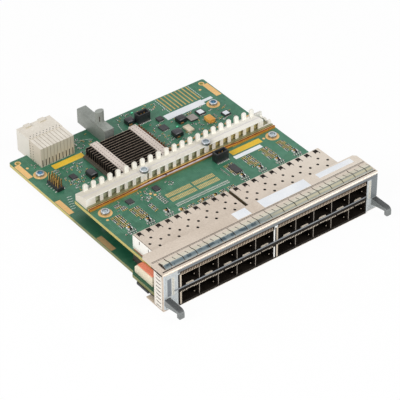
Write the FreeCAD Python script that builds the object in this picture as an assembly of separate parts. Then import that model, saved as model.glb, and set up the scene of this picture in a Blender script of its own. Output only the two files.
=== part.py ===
import FreeCAD, Part
import math
import os

from FreeCAD import Vector

# Interface module with two rows of small pluggable-transceiver ports.
# Millimetres. X runs along the faceplate, Y from the faceplate to the rear
# connector, Z up. While pieces are made, y = 0 is the faceplate's front face
# and z = 0 its bottom; at the end the origin moves under the module's middle.

# Faceplate, folded from one sheet
PLATE_END = 9.275
PLATE_HEADROOM = 5.3
PLATE_SHEET = 0.8
PLATE_BEND = 1.2
TOP_FLANGE_DEPTH = 23.0
BOTTOM_FLANGE_DEPTH = 18.0
SIDE_RETURN_DEPTH = 9.7
CORNER_SLIT = 0.7
FLANGE_CORNER = 2.0

# Front film and label bar
FILM_THICKNESS = 0.25
FILM_SIDE_INSET = 0.1
FILM_BOTTOM = 0.5
FILM_HEADROOM = 2.1
BAR_THICKNESS = 0.5
BAR_OVERLAP = 0.25
BAR_END_REACH = 3.0

# Port cages, each a row of ports in one folded cover
PORT_PITCH = 14.25
PORTS_PER_CAGE = 5
CAGE_GAP = 2.55
PORT_SHIFT = 1.4
CAGE_SHEET = 0.3
CAGE_HEIGHT = 10.0
CAGE_DEPTH = 48.0
CAGE_FLOOR_GAP = 1.5
DIVIDER_SHEET = 0.7
VENT_RADIUS = 0.95
VENT_SIDE_STEP = 4.1
VENT_ROW_STEP = 4.7
VENT_CENTRE_FROM_BACK = 13.6
NOTCH_STEP = 3.75
NOTCH_WIDTH = 3.6
NOTCH_DEPTH = 2.2
CAGE_FLANGE_GAP = 0.1
WINDOW_MARGIN = 0.1
WINDOW_END_MARGIN = 1.5
WINDOW_TOP_MARGIN = 0.8
WEB_MARGIN = 0.35

# Spring fingers at the mouth of each cage
FINGER_SHEET = 0.2
FINGERS_PER_PORT = 3
FINGER_SLOT = 1.6
FINGER_LIP = 1.6
FINGER_RISE = 0.7
FINGER_LENGTH = 5.0
FINGER_BASE = 1.2
LOWER_LIP = 0.8

# Host connectors inside the cages
HOST_WIDTH = 10.8
HOST_LENGTH = 9.5
HOST_HEIGHT = 6.0
HOST_BACK_GAP = 4.0
HOST_SLOT_HEIGHT = 1.3
HOST_SLOT_DEPTH = 6.0
HOST_SLOT_BOTTOM = 2.4
HOST_NOSE = 2.2

# Spring gaskets on the faceplate
TOP_GASKET_INSET = 4.5
TOP_GASKET_RIGHT_INSET = 0.3
TOP_GASKET_FRONT = 3.4
TOP_GASKET_DEPTH = 9.4
TOP_GASKET_LAND = 2.4
TOP_GASKET_RISE = 1.3
TOP_GASKET_FINGERS = 28
GASKET_SHEET = 0.25
GASKET_SLOT = 0.5
SIDE_GASKET_BULGE = 0.5
SIDE_GASKET_FRONT = 1.4
SIDE_GASKET_DEPTH = 7.8
SIDE_GASKET_LAND = 2.0
SIDE_GASKET_FINGERS = 7

# Pull handles
HANDLE_WIDTH = 4.4
HANDLE_REACH = 14.6
HANDLE_BOTTOM = 4.6
HANDLE_TOP = 9.8
HANDLE_NOSE = 3.2
HANDLE_HOOK = 2.3
HANDLE_HOOK_DROP = 2.9
HANDLE_TAPER = 2.2
HANDLE_EDGE = 0.5
HANDLE_INSET = 0.5
HANDLE_SCREW_RADIUS = 1.1
HANDLE_SCREW_HEAD = 1.8
HANDLE_SCREW_LENGTH = 7.0

# Boards
UPPER_BOARD_MARGIN = 1.575
UPPER_BOARD_BACK = 108.4
UPPER_BOARD_THICKNESS = 2.4
MAIN_BOARD_LEG = 5.475
MAIN_BOARD_SHIFT = 1.0
MAIN_BOARD_THICKNESS = 2.4
MAIN_BOARD_CORNER = 1.5
BOARD_FRONT_GAP = 0.3
EAR_REACH = 2.2
EAR_BACK = 39.0
CAGE_CUTOUT_GAP = 0.7
TOOLING_HOLE_RADIUS = 1.3
TOOLING_HOLE_X = 4.3
TOOLING_HOLE_Y = 4.2

# Rails between the board's ears and the faceplate's bottom flange
RAIL_THICKNESS = 1.1
RAIL_WIDTH = 4.0
RAIL_FRONT = 3.0
RAIL_BACK = 32.0

# Screws, nuts and standoffs
SCREW_RADIUS = 1.5
SCREW_HEAD_RADIUS = 2.9
SCREW_HEAD_HEIGHT = 2.0
SCREW_GAP = 0.1
SOCKET_ACROSS = 2.0
SOCKET_DEPTH = 1.2
LOW_HEAD_RADIUS = 2.4
LOW_HEAD_HEIGHT = 0.9
STANDOFF_ACROSS = 5.5
NUT_RADIUS = 3.0
UPPER_SCREW_INSET = 7.9
UPPER_SCREW_FROM_BACK = 22.0
REAR_LEFT_SCREW_INSET = 9.0
REAR_LEFT_SCREW_FROM_BACK = 23.4
REAR_RIGHT_SCREW_INSET = 12.6
REAR_RIGHT_SCREW_FROM_BACK = 28.4
EAR_SCREW_Y = 11.0

# Moulded comb bar and the gold-plated stiffener under it
COMB_INSET = 0.6
COMB_DEPTH = 12.0
COMB_WALL = 1.6
COMB_FRONT_WALL = 0.9
COMB_PLATE = 0.8
COMB_PLATE_HEIGHT = 7.3
COMB_LIP = 4.1
COMB_FALL = 2.2
COMB_TOOTH_HEIGHT = 4.8
COMB_TOOTH_WIDTH = 3.2
COMB_TOOTH_ROUND = 1.1
COMB_TOOTH_SHIFT = -0.55
COMB_LEG_WIDTH = 2.5
COMB_PITCH = 6.3
COMB_LEG_SHIFT = 2.0
COMB_LEFT_BLOCK = 7.2
COMB_RIGHT_BLOCK = 11.2
COMB_SCREW_X = 24.5
COMB_SCREW_SHIFT = -3.2
STIFFENER_HEIGHT = 1.7
STIFFENER_REACH = 3.8
STIFFENER_DEPTH = 8.4
STIFFENER_GROOVE = 0.8
STIFFENER_CLEARANCE = 0.1

# Mezzanine connectors between the boards
MEZZANINE_LENGTH = 44.0
MEZZANINE_WIDTH = 6.0
MEZZANINE_X = 34.0
MEZZANINE_FROM_BACK = 6.5
MEZZANINE_SOCKET_SHARE = 0.55
MEZZANINE_WALL = 1.0
MEZZANINE_ENGAGE = 1.0
MEZZANINE_GAP = 0.15

# Side connector at the left of the upper board
SIDE_BODY_WIDTH = 4.6
SIDE_BODY_FRONT = 19.2
SIDE_BODY_BACK = 37.6
SIDE_BODY_HEIGHT = 6.8
SIDE_BODY_CHAMFER = 2.4
SIDE_BODY_GAP = 0.3
SIDE_CAP_INSET = 0.5
SIDE_CAP_HEIGHT = 1.1

# Rear backplane connector
REAR_CONNECTOR_X = -51.1
REAR_CONNECTOR_WIDTH = 26.0
REAR_CONNECTOR_HEIGHT = 14.8
REAR_CONNECTOR_FRONT = 17.6
REAR_CONNECTOR_OVERHANG = 10.6
REAR_HOUSING_DEPTH = 15.0
REAR_WAFERS = 10
REAR_WAFER_GAP = 0.25
REAR_WAFER_STEP = 0.3
REAR_RIB_WIDTH = 4.5
REAR_RIB_HEIGHT = 1.0
REAR_RIB_DEPTH = 3.5
REAR_RIB_X = 5.6
REAR_SLOT_WIDTH = 1.1
REAR_SLOT_DEPTH = 4.0
REAR_SLOT_EDGE = 1.6
BOARD_EDGE_GAP = 0.3
BELOW_BOARD_TOP = 2.0

# Guide block beside the backplane connector
GUIDE_X = -13.4
GUIDE_WIDTH = 7.3
GUIDE_FRONT = 22.4
GUIDE_OVERHANG = 10.4
GUIDE_HEIGHT = 10.8
GUIDE_POST_WIDTH = 6.8
GUIDE_POST_DEPTH = 4.3
GUIDE_POST_HEIGHT = 9.1
GUIDE_POST_Y = 11.3
GUIDE_POST_FLATS = 14
GUIDE_LEAD_IN = 0.4
GUIDE_BORE_RADIUS = 1.9
GUIDE_BORE_DEPTH = 9.0

# Heat sink, its clips, the processor and its thermal pad
SINK_X = -13.2
SINK_WIDTH = 43.6
SINK_DEPTH = 39.8
SINK_FROM_BACK = 24.8
SINK_FRONT_GAP = 4.8
SINK_HEIGHT = 6.2
SINK_BASE = 1.2
SINK_FINS = 16
SINK_FIN_THICKNESS = 0.8
SINK_BASE_LIP = 1.0
CLIP_WIDTH = 5.6
CLIP_THICKNESS = 0.7
CLIP_LEFT_INSET = 4.8
CLIP_RIGHT_INSET = 2.4
CLIP_SIDE_GAP = 0.1
CLIP_FOOT = 2.0
PROCESSOR_SIDE = 31.0
PROCESSOR_HEIGHT = 1.2
PAD_SIDE = 25.0
PAD_HEIGHT = 0.3

# Pin header and box headers
HEADER_PITCH = 2.54
HEADER_PINS = 5
HEADER_BASE = 2.5
HEADER_PIN = 0.64
HEADER_PIN_HEIGHT = 8.5
HEADER_X = -68.0
HEADER_FROM_BACK = 39.7
BOX_WIDTH = 9.6
BOX_DEPTH = 5.4
BOX_HEIGHT = 7.0
BOX_WALL = 0.9
BOX_FLOOR = 1.4
BOX_PIN = 0.5
BOX_PIN_PITCH = 2.54
BOX_PIN_HEIGHT = 5.0
MAIN_BOX_X = 18.5
MAIN_BOX_FROM_BACK = 14.8
UPPER_BOX_X = 25.6
UPPER_BOX_FROM_BACK = 21.5

# Soldered parts: centre x, distance from the board's back edge, width, depth, height
INDUCTORS = [
    (10.0, 12.0, 5.8, 5.4, 4.0),
    (27.0, 42.4, 6.2, 5.8, 4.0),
    (38.3, 31.2, 6.0, 5.6, 4.0),
    (-43.2, 44.4, 5.2, 7.0, 4.0),
]
MAIN_CHIPS = [
    (24.3, 30.7, 5.2, 5.6, 1.0),
    (28.0, 21.3, 4.2, 4.2, 1.5),
    (-53.6, 38.5, 4.0, 5.0, 1.0),
    (45.9, 33.7, 5.4, 5.6, 1.4),
    (54.3, 31.4, 5.4, 5.6, 1.2),
    (67.1, 42.8, 5.0, 5.0, 1.2),
]
UPPER_CHIPS = [
    (-46.7, 22.3, 4.4, 4.4, 1.0),
    (-25.6, 21.4, 4.0, 4.8, 1.0),
    (26.4, 36.0, 4.6, 9.0, 1.4),
]
OSCILLATOR = (36.8, 41.7, 4.8, 7.2, 1.5)
TANTALUM = (54.0, 42.2, 4.8, 6.6, 2.6)
INDUCTOR_CHAMFER = 0.8
TANTALUM_TAB = 0.6

# Small two-pad parts, repeated behind the ports and beside the heat sink
PASSIVE_LENGTH = 2.0
PASSIVE_WIDTH = 1.2
PASSIVE_HEIGHT = 0.8
PASSIVE_FROM_CAGE = 5.0
MAIN_PASSIVE_COUNT = 8
MAIN_PASSIVE_STEP = 6.6
MAIN_PASSIVE_X = 14.0
MAIN_PASSIVE_FROM_BACK = 52.0

# Places and heights that follow from the sizes above
CAGE_WIDTH = PORTS_PER_CAGE * PORT_PITCH + CAGE_SHEET
CAGE_SPACING = CAGE_WIDTH + CAGE_GAP
HOST_FRONT = CAGE_DEPTH - HOST_BACK_GAP - HOST_LENGTH
CAGE_FLOOR_DEPTH = HOST_FRONT - CAGE_FLOOR_GAP
CAGE_LEFT = PORT_SHIFT - (CAGE_SPACING + CAGE_WIDTH) / 2
CAGE_LEFTS = [CAGE_LEFT, CAGE_LEFT + CAGE_SPACING]
CAGE_RIGHT = CAGE_LEFTS[-1] + CAGE_WIDTH
LOWER_CAGE_BOTTOM = PLATE_SHEET + CAGE_FLANGE_GAP
UPPER_BOARD_BOTTOM = LOWER_CAGE_BOTTOM + CAGE_HEIGHT
UPPER_BOARD_TOP = UPPER_BOARD_BOTTOM + UPPER_BOARD_THICKNESS
UPPER_CAGE_TOP = UPPER_BOARD_TOP + CAGE_HEIGHT
PLATE_HEIGHT = UPPER_CAGE_TOP + PLATE_HEADROOM
FILM_TOP = UPPER_CAGE_TOP + FILM_HEADROOM
MAIN_BOARD_BOTTOM = PLATE_SHEET + RAIL_THICKNESS
MAIN_BOARD_TOP = MAIN_BOARD_BOTTOM + MAIN_BOARD_THICKNESS
BOARD_FRONT = PLATE_SHEET + BOARD_FRONT_GAP
PLATE_HALF = CAGE_RIGHT + PLATE_END
TOP_GASKET_LENGTH = 2 * PLATE_HALF - TOP_GASKET_INSET - TOP_GASKET_RIGHT_INSET
UPPER_BOARD_WIDTH = CAGE_RIGHT - CAGE_LEFT + 2 * UPPER_BOARD_MARGIN
MAIN_BOARD_WIDTH = CAGE_RIGHT - CAGE_LEFT + 2 * (CAGE_CUTOUT_GAP + MAIN_BOARD_LEG)
MAIN_BOARD_BACK = UPPER_BOARD_BACK + SINK_FRONT_GAP + SINK_DEPTH + SINK_FROM_BACK
CROSSBAR_BOTTOM = UPPER_BOARD_BOTTOM + WINDOW_MARGIN
CROSSBAR_TOP = UPPER_BOARD_TOP - WINDOW_MARGIN
STIFFENER_TOP = UPPER_BOARD_TOP + STIFFENER_HEIGHT
COMB_FRONT = UPPER_BOARD_BACK - COMB_DEPTH
COMB_PLATE_TOP = UPPER_BOARD_TOP + COMB_PLATE_HEIGHT
COMB_PLATE_BOTTOM = COMB_PLATE_TOP - COMB_PLATE
COMB_VALLEY = COMB_PLATE_TOP - COMB_FALL
REACH_BACK = MAIN_BOARD_BACK + REAR_CONNECTOR_OVERHANG
ORIGIN_SHIFT = Vector(0, (HANDLE_REACH - REACH_BACK) / 2, 0)
OVERCUT = 1.0
ROUND_FLAT_COUNT = 8


def block(x0, x1, y0, y1, z0, z1):
    """A box between two opposite corners."""
    return Part.makeBox(x1 - x0, y1 - y0, z1 - z0, Vector(x0, y0, z0))


def centred_block(x, y, width, depth, z0, z1):
    """A box standing on z0, centred on a place on a board."""
    return block(x - width / 2, x + width / 2, y - depth / 2, y + depth / 2, z0, z1)


def outline_face(points):
    """A flat face inside straight edges."""
    return Part.Face(Part.makePolygon(points + points[:1]))


def along_x(profile, x0, x1):
    """A (y, z) outline drawn out along X."""
    face = outline_face([Vector(x0, y, z) for y, z in profile])
    return face.extrude(Vector(x1 - x0, 0, 0))


def along_y(profile, y0, y1):
    """An (x, z) outline drawn out along Y."""
    face = outline_face([Vector(x, y0, z) for x, z in profile])
    return face.extrude(Vector(0, y1 - y0, 0))


def upright(profile, z0, z1):
    """An (x, y) outline drawn up along Z."""
    face = outline_face([Vector(x, y, z0) for x, y in profile])
    return face.extrude(Vector(0, 0, z1 - z0))


def round_outline(a, b, radius, flats=ROUND_FLAT_COUNT):
    """A regular outline, which stands for a circle on small repeated features."""
    turns = [2 * math.pi * i / flats for i in range(flats)]
    return [(a + radius * math.cos(t), b + radius * math.sin(t)) for t in turns]


def pillar(x, y, z0, z1, radius):
    """An upright round bar."""
    return upright(round_outline(x, y, radius), z0, z1)


def hexagon(x, y, across, z0, z1):
    """An upright hexagonal bar, given its width across the flats."""
    return upright(round_outline(x, y, across / math.sqrt(3), 6), z0, z1)


def joined(solids):
    """One solid from touching or crossing ones."""
    return solids[0].multiFuse(solids[1:]).removeSplitter()


def group(solids):
    """Separate solids kept together in one node."""
    return Part.makeCompound(solids)


def mirrored(shape):
    """The same piece for the other end of the faceplate."""
    return shape.mirror(Vector(0, 0, 0), Vector(1, 0, 0))


def port_centres(cage_left):
    """X of each port's middle in one cage."""
    first = cage_left + CAGE_SHEET / 2 + PORT_PITCH / 2
    return [first + i * PORT_PITCH for i in range(PORTS_PER_CAGE)]


def on_upper_side(shape):
    """A cage piece made on z = 0, seated on top of the upper board."""
    return shape.translated(Vector(0, 0, UPPER_BOARD_TOP))


def on_lower_side(shape):
    """The same cage piece, hung upside down under the upper board."""
    hung = shape.mirror(Vector(0, 0, 0), Vector(0, 0, 1))
    return hung.translated(Vector(0, 0, UPPER_BOARD_BOTTOM))


def window_edges(index):
    """Left and right edges of a faceplate window round one stack of cages."""
    left = CAGE_LEFTS[index]
    right = left + CAGE_WIDTH
    if index == 0:
        return left - WINDOW_END_MARGIN, right + WEB_MARGIN
    return left - WEB_MARGIN, right + WINDOW_END_MARGIN


def port_windows(y0, y1):
    """The four cut-outs that the cages pass through."""
    cuts = []
    for index in range(len(CAGE_LEFTS)):
        left, right = window_edges(index)
        upper_top = UPPER_CAGE_TOP + WINDOW_TOP_MARGIN
        cuts.append(block(left, right, y0, y1, PLATE_SHEET, CROSSBAR_BOTTOM))
        cuts.append(block(left, right, y0, y1, CROSSBAR_TOP, upper_top))
    return cuts


def faceplate():
    """Front, two flanges and two side returns, bent from one sheet."""
    sheet = PLATE_SHEET
    deep = TOP_FLANGE_DEPTH + OVERCUT
    outer = block(-PLATE_HALF, PLATE_HALF, 0, TOP_FLANGE_DEPTH, 0, PLATE_HEIGHT)
    front_edges = [e for e in outer.Edges if e.BoundBox.YMax < OVERCUT]
    outer = outer.makeFillet(PLATE_BEND, front_edges)
    wide = PLATE_HALF + OVERCUT
    low = PLATE_HEIGHT - sheet
    cuts = [block(-PLATE_HALF + sheet, PLATE_HALF - sheet, sheet, deep, sheet, low)]
    cuts.append(block(-wide, wide, SIDE_RETURN_DEPTH, deep, sheet, low))
    cuts.append(block(-wide, wide, BOTTOM_FLANGE_DEPTH, deep, -OVERCUT, low))
    for side in (-1, 1):
        edge = sorted((side * wide, side * (PLATE_HALF - sheet)))
        slit_back = SIDE_RETURN_DEPTH + OVERCUT
        cuts.append(block(*edge, PLATE_BEND, slit_back, low - CORNER_SLIT, low))
        cuts.append(block(*edge, PLATE_BEND, slit_back, sheet, sheet + CORNER_SLIT))
        tip = (side * PLATE_HALF, TOP_FLANGE_DEPTH)
        inner = (tip[0] - side * FLANGE_CORNER, tip[1])
        front = (tip[0], tip[1] - FLANGE_CORNER)
        cuts.append(upright([tip, inner, front], low - OVERCUT, PLATE_HEIGHT + OVERCUT))
        cuts.append(handle_screw_hole(side, -OVERCUT, sheet + OVERCUT))
        cuts.append(pillar(ear_screw_x(side), EAR_SCREW_Y, -OVERCUT, sheet + OVERCUT,
                           SCREW_RADIUS + SCREW_GAP))
    cuts += port_windows(-OVERCUT, sheet + OVERCUT)
    return outer.cut(cuts)


def front_film():
    """Printed film stuck to the faceplate, open at the ports and handles."""
    half = PLATE_HALF - PLATE_BEND - FILM_SIDE_INSET
    film = block(-half, half, -FILM_THICKNESS, 0, PLATE_SHEET + FILM_BOTTOM, FILM_TOP)
    cuts = port_windows(-OVERCUT, OVERCUT)
    for side in (-1, 1):
        inner = side * (PLATE_HALF - HANDLE_INSET - HANDLE_WIDTH - FILM_SIDE_INSET)
        x0, x1 = sorted((inner, side * (PLATE_HALF + OVERCUT)))
        cuts.append(block(x0, x1, -OVERCUT, OVERCUT, HANDLE_BOTTOM - FILM_SIDE_INSET,
                          HANDLE_TOP + FILM_SIDE_INSET))
    return film.cut(cuts)


def label_bar():
    """Strip along the crossbar between the two rows of ports."""
    left = CAGE_LEFT - WINDOW_END_MARGIN - BAR_END_REACH
    right = CAGE_RIGHT + BAR_OVERLAP
    front = -FILM_THICKNESS - BAR_THICKNESS
    bar = block(left, right, front, -FILM_THICKNESS, CROSSBAR_BOTTOM - BAR_OVERLAP,
                CROSSBAR_TOP + BAR_OVERLAP)
    long_edges = [e for e in bar.Edges if e.BoundBox.XLength > PORT_PITCH]
    front_edges = [e for e in long_edges if e.BoundBox.YMax < front + BAR_THICKNESS / 2]
    return bar.makeChamfer(BAR_THICKNESS / 2, front_edges)


def cage_vents(cage_left):
    """Cuts for the four vents over each port."""
    y = CAGE_DEPTH - VENT_CENTRE_FROM_BACK
    low = CAGE_HEIGHT - CAGE_SHEET - OVERCUT
    high = CAGE_HEIGHT + OVERCUT
    cuts = []
    for x in port_centres(cage_left):
        places = [(x - VENT_SIDE_STEP, y), (x + VENT_SIDE_STEP, y),
                  (x, y - VENT_ROW_STEP), (x, y + VENT_ROW_STEP)]
        cuts += [hexagon(vx, vy, 2 * VENT_RADIUS, low, high) for vx, vy in places]
    return cuts


def cage_cover(cage_left):
    """Top, sides and back of a cage, folded from one sheet."""
    right = cage_left + CAGE_WIDTH
    cover = block(cage_left, right, 0, CAGE_DEPTH, 0, CAGE_HEIGHT)
    cuts = [block(cage_left + CAGE_SHEET, right - CAGE_SHEET, -OVERCUT,
                  CAGE_DEPTH - CAGE_SHEET, -OVERCUT, CAGE_HEIGHT - CAGE_SHEET)]
    notch_y = CAGE_DEPTH - CAGE_SHEET - NOTCH_DEPTH / 2
    for x in port_centres(cage_left):
        for side in (-1, 1):
            cuts.append(centred_block(x + side * NOTCH_STEP, notch_y, NOTCH_WIDTH, NOTCH_DEPTH,
                                      CAGE_HEIGHT - CAGE_SHEET - OVERCUT, CAGE_HEIGHT + OVERCUT))
    return cover.cut(cuts)


def vented_cover(cage_left):
    """A cover that faces open air, perforated over its ports."""
    return cage_cover(cage_left).cut(cage_vents(cage_left))


def cage_floor(cage_left):
    """Floor sheet of a cage, between its sides."""
    right = cage_left + CAGE_WIDTH - CAGE_SHEET
    return block(cage_left + CAGE_SHEET, right, 0, CAGE_FLOOR_DEPTH, 0, CAGE_SHEET)


def cage_dividers(cage_left):
    """Upright walls between neighbouring ports."""
    walls = []
    for x in port_centres(cage_left)[1:]:
        wall_x = x - PORT_PITCH / 2
        walls.append(block(wall_x - DIVIDER_SHEET / 2, wall_x + DIVIDER_SHEET / 2, 0,
                           CAGE_DEPTH - CAGE_SHEET, CAGE_SHEET, CAGE_HEIGHT - CAGE_SHEET))
    return group(walls)


def host_connectors(cage_left):
    """Card-edge sockets at the back of the ports, on the board."""
    back = HOST_FRONT + HOST_LENGTH
    nose = HOST_FRONT + HOST_NOSE
    slot_top = HOST_SLOT_BOTTOM + HOST_SLOT_HEIGHT
    slot_back = HOST_FRONT + HOST_SLOT_DEPTH
    profile = [(nose, 0), (back, 0), (back, HOST_HEIGHT), (HOST_FRONT, HOST_HEIGHT),
               (HOST_FRONT, slot_top), (slot_back, slot_top), (slot_back, HOST_SLOT_BOTTOM),
               (HOST_FRONT, HOST_SLOT_BOTTOM)]
    half = HOST_WIDTH / 2
    return group([along_x(profile, x - half, x + half) for x in port_centres(cage_left)])


def finger_slots(cage_left, y0, y1, z0, z1):
    """Cuts that part a spring strip into fingers."""
    pitch = PORT_PITCH / FINGERS_PER_PORT
    first = cage_left + CAGE_SHEET / 2 + pitch / 2
    count = PORTS_PER_CAGE * FINGERS_PER_PORT
    middles = [first + i * pitch for i in range(count)]
    return [centred_block(x, (y0 + y1) / 2, FINGER_SLOT, y1 - y0, z0, z1) for x in middles]


def upper_fingers(cage_left):
    """Spring strip clipped over the top edge of an upper cage's mouth."""
    top = CAGE_HEIGHT
    lip = top + FINGER_RISE - FINGER_LIP
    crest = top + FINGER_RISE
    back = FINGER_LENGTH + FINGER_BASE
    sheet = FINGER_SHEET
    profile = [(-sheet, lip), (0, lip), (0, top), (back, top), (back, top + sheet),
               (FINGER_LENGTH, top + sheet), (FINGER_LENGTH / 2, crest), (-sheet, crest)]
    strip = along_x(profile, cage_left, cage_left + CAGE_WIDTH)
    return strip.cut(finger_slots(cage_left, -OVERCUT, FINGER_LENGTH, top + sheet, crest + OVERCUT))


def lower_fingers(cage_left):
    """Spring strip across the top of a lower cage's mouth, made upside down."""
    gap = WINDOW_MARGIN + BAR_OVERLAP
    strip = block(cage_left, cage_left + CAGE_WIDTH, -FINGER_SHEET, 0, gap, gap + LOWER_LIP)
    return strip.cut(finger_slots(cage_left, -OVERCUT, OVERCUT, gap + FINGER_SHEET,
                                  gap + LOWER_LIP + OVERCUT))


def top_gasket():
    """Arched spring fingers along the faceplate's top flange."""
    left = -PLATE_HALF + TOP_GASKET_INSET
    z = PLATE_HEIGHT
    crest = z + TOP_GASKET_RISE
    front = TOP_GASKET_FRONT
    back = front + TOP_GASKET_DEPTH
    arch = back - TOP_GASKET_LAND
    sheet = GASKET_SHEET
    peak = (front + arch) / 2
    profile = [(front, z), (peak, crest - sheet), (arch, z), (back, z), (back, z + sheet),
               (arch, z + sheet), (peak, crest), (front, z + sheet)]
    strip = along_x(profile, left, left + TOP_GASKET_LENGTH)
    pitch = TOP_GASKET_LENGTH / TOP_GASKET_FINGERS
    slots = []
    for i in range(1, TOP_GASKET_FINGERS):
        x = left + i * pitch
        slots.append(block(x - GASKET_SLOT / 2, x + GASKET_SLOT / 2, front - OVERCUT, arch,
                           z, crest + OVERCUT))
    return strip.cut(slots)


def left_gasket():
    """Bowed spring fingers up the faceplate's left return."""
    face = -PLATE_HALF
    crest = face - SIDE_GASKET_BULGE
    sheet = GASKET_SHEET
    front = SIDE_GASKET_FRONT
    back = front + SIDE_GASKET_DEPTH
    arch = back - SIDE_GASKET_LAND
    peak = (front + arch) / 2
    profile = [(face, front), (crest + sheet, peak), (face, arch), (face, back),
               (face - sheet, back), (face - sheet, arch), (crest, peak), (face - sheet, front)]
    bottom = PLATE_SHEET + CORNER_SLIT
    top = PLATE_HEIGHT - PLATE_SHEET - CORNER_SLIT
    strip = upright(profile, bottom, top)
    pitch = (top - bottom) / SIDE_GASKET_FINGERS
    slots = []
    for i in range(1, SIDE_GASKET_FINGERS):
        z = bottom + i * pitch
        slots.append(block(face - OVERCUT, face, front - OVERCUT, arch, z - GASKET_SLOT / 2,
                           z + GASKET_SLOT / 2))
    return strip.cut(slots)


def handle_x(side):
    """X of a handle's middle."""
    return side * (PLATE_HALF - HANDLE_INSET - HANDLE_WIDTH / 2)


def handle_screw_hole(side, y0, y1):
    """Bore for the screw that holds a handle from behind the faceplate."""
    z = (HANDLE_BOTTOM + HANDLE_TOP) / 2
    return along_y(round_outline(handle_x(side), z, HANDLE_SCREW_RADIUS + SCREW_GAP), y0, y1)


def handle(side):
    """Hooked finger pull, moulded in one piece."""
    x0 = handle_x(side) - HANDLE_WIDTH / 2
    tip = -HANDLE_REACH
    turn = HANDLE_NOSE * math.sqrt(0.5)
    under = HANDLE_BOTTOM + HANDLE_TAPER
    root_top = Vector(x0, 0, HANDLE_TOP)
    nose_top = Vector(x0, tip + HANDLE_NOSE, HANDLE_TOP)
    nose_mid = Vector(x0, tip + HANDLE_NOSE - turn, HANDLE_TOP - HANDLE_NOSE + turn)
    nose_front = Vector(x0, tip, HANDLE_TOP - HANDLE_NOSE)
    hook_front = Vector(x0, tip, under - HANDLE_HOOK_DROP)
    hook_back = Vector(x0, tip + HANDLE_HOOK, under - HANDLE_HOOK_DROP)
    hook_root = Vector(x0, tip + HANDLE_HOOK, under)
    root_bottom = Vector(x0, 0, HANDLE_BOTTOM)
    edges = [Part.LineSegment(root_top, nose_top).toShape(),
             Part.Arc(nose_top, nose_mid, nose_front).toShape()]
    corners = [nose_front, hook_front, hook_back, hook_root, root_bottom, root_top]
    for start, end in zip(corners, corners[1:]):
        edges.append(Part.LineSegment(start, end).toShape())
    body = Part.Face(Part.Wire(edges)).extrude(Vector(HANDLE_WIDTH, 0, 0))
    rims = [e for e in body.Edges if e.BoundBox.XLength < HANDLE_EDGE
            and e.BoundBox.YMax < HANDLE_EDGE and e.BoundBox.YLength > HANDLE_EDGE]
    body = body.makeChamfer(HANDLE_EDGE, rims)
    return body.cut(handle_screw_hole(side, -HANDLE_SCREW_LENGTH, OVERCUT))


def handle_screws():
    """Screws through the faceplate into the handles."""
    screws = []
    z = (HANDLE_BOTTOM + HANDLE_TOP) / 2
    inside = PLATE_SHEET
    for side in (-1, 1):
        x = handle_x(side)
        shank = along_y(round_outline(x, z, HANDLE_SCREW_RADIUS), inside - HANDLE_SCREW_LENGTH, inside)
        head = along_y(round_outline(x, z, HANDLE_SCREW_HEAD), inside, inside + LOW_HEAD_HEIGHT)
        screws.append(shank.fuse(head))
    return group(screws)


def upper_screw_places():
    """Where the upper board is screwed to its standoffs."""
    y = UPPER_BOARD_BACK - UPPER_SCREW_FROM_BACK
    reach = UPPER_BOARD_WIDTH / 2 - UPPER_SCREW_INSET
    return [(PORT_SHIFT - reach, y), (PORT_SHIFT + reach, y)]


def rear_screw_places():
    """Where the main board is screwed down at its back."""
    half = MAIN_BOARD_WIDTH / 2
    left = MAIN_BOARD_SHIFT - half + REAR_LEFT_SCREW_INSET
    right = MAIN_BOARD_SHIFT + half - REAR_RIGHT_SCREW_INSET
    return [(left, MAIN_BOARD_BACK - REAR_LEFT_SCREW_FROM_BACK),
            (right, MAIN_BOARD_BACK - REAR_RIGHT_SCREW_FROM_BACK)]


def ear_screw_x(side):
    """X of the screw in one front ear of the main board."""
    return MAIN_BOARD_SHIFT + side * (MAIN_BOARD_WIDTH / 2 + EAR_REACH - RAIL_WIDTH / 2 - SCREW_GAP)


def ear_screw_places():
    """Where the main board's ears are screwed to the bottom flange."""
    return [(ear_screw_x(side), EAR_SCREW_Y) for side in (-1, 1)]


def screw_holes(places, z0, z1):
    """Clearance bores for a set of upright screws."""
    return [pillar(x, y, z0, z1, SCREW_RADIUS + SCREW_GAP) for x, y in places]


def socket_screw(x, y, seat, tip):
    """Round-headed screw with a hexagon socket, head down on its seat."""
    shank = pillar(x, y, tip, seat, SCREW_RADIUS)
    top = seat + SCREW_HEAD_HEIGHT
    head = pillar(x, y, seat, top, SCREW_HEAD_RADIUS)
    socket = hexagon(x, y, SOCKET_ACROSS, top - SOCKET_DEPTH, top + OVERCUT)
    return shank.fuse(head).cut(socket)


def low_screw(x, y, seat, length, direction):
    """Thin-headed screw: direction 1 has its head on top, -1 below."""
    head_end = seat + direction * LOW_HEAD_HEIGHT
    shank_end = seat - direction * length
    head = pillar(x, y, min(seat, head_end), max(seat, head_end), LOW_HEAD_RADIUS)
    return head.fuse(pillar(x, y, min(seat, shank_end), max(seat, shank_end), SCREW_RADIUS))


def upper_board():
    """Board that carries the cages on both faces."""
    half = UPPER_BOARD_WIDTH / 2
    board = block(PORT_SHIFT - half, PORT_SHIFT + half, BOARD_FRONT, UPPER_BOARD_BACK,
                  UPPER_BOARD_BOTTOM, UPPER_BOARD_TOP)
    low = UPPER_BOARD_BOTTOM - OVERCUT
    high = UPPER_BOARD_TOP + OVERCUT
    places = upper_screw_places() + comb_screw_places()
    return board.cut(screw_holes(places, low, high))


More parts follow.
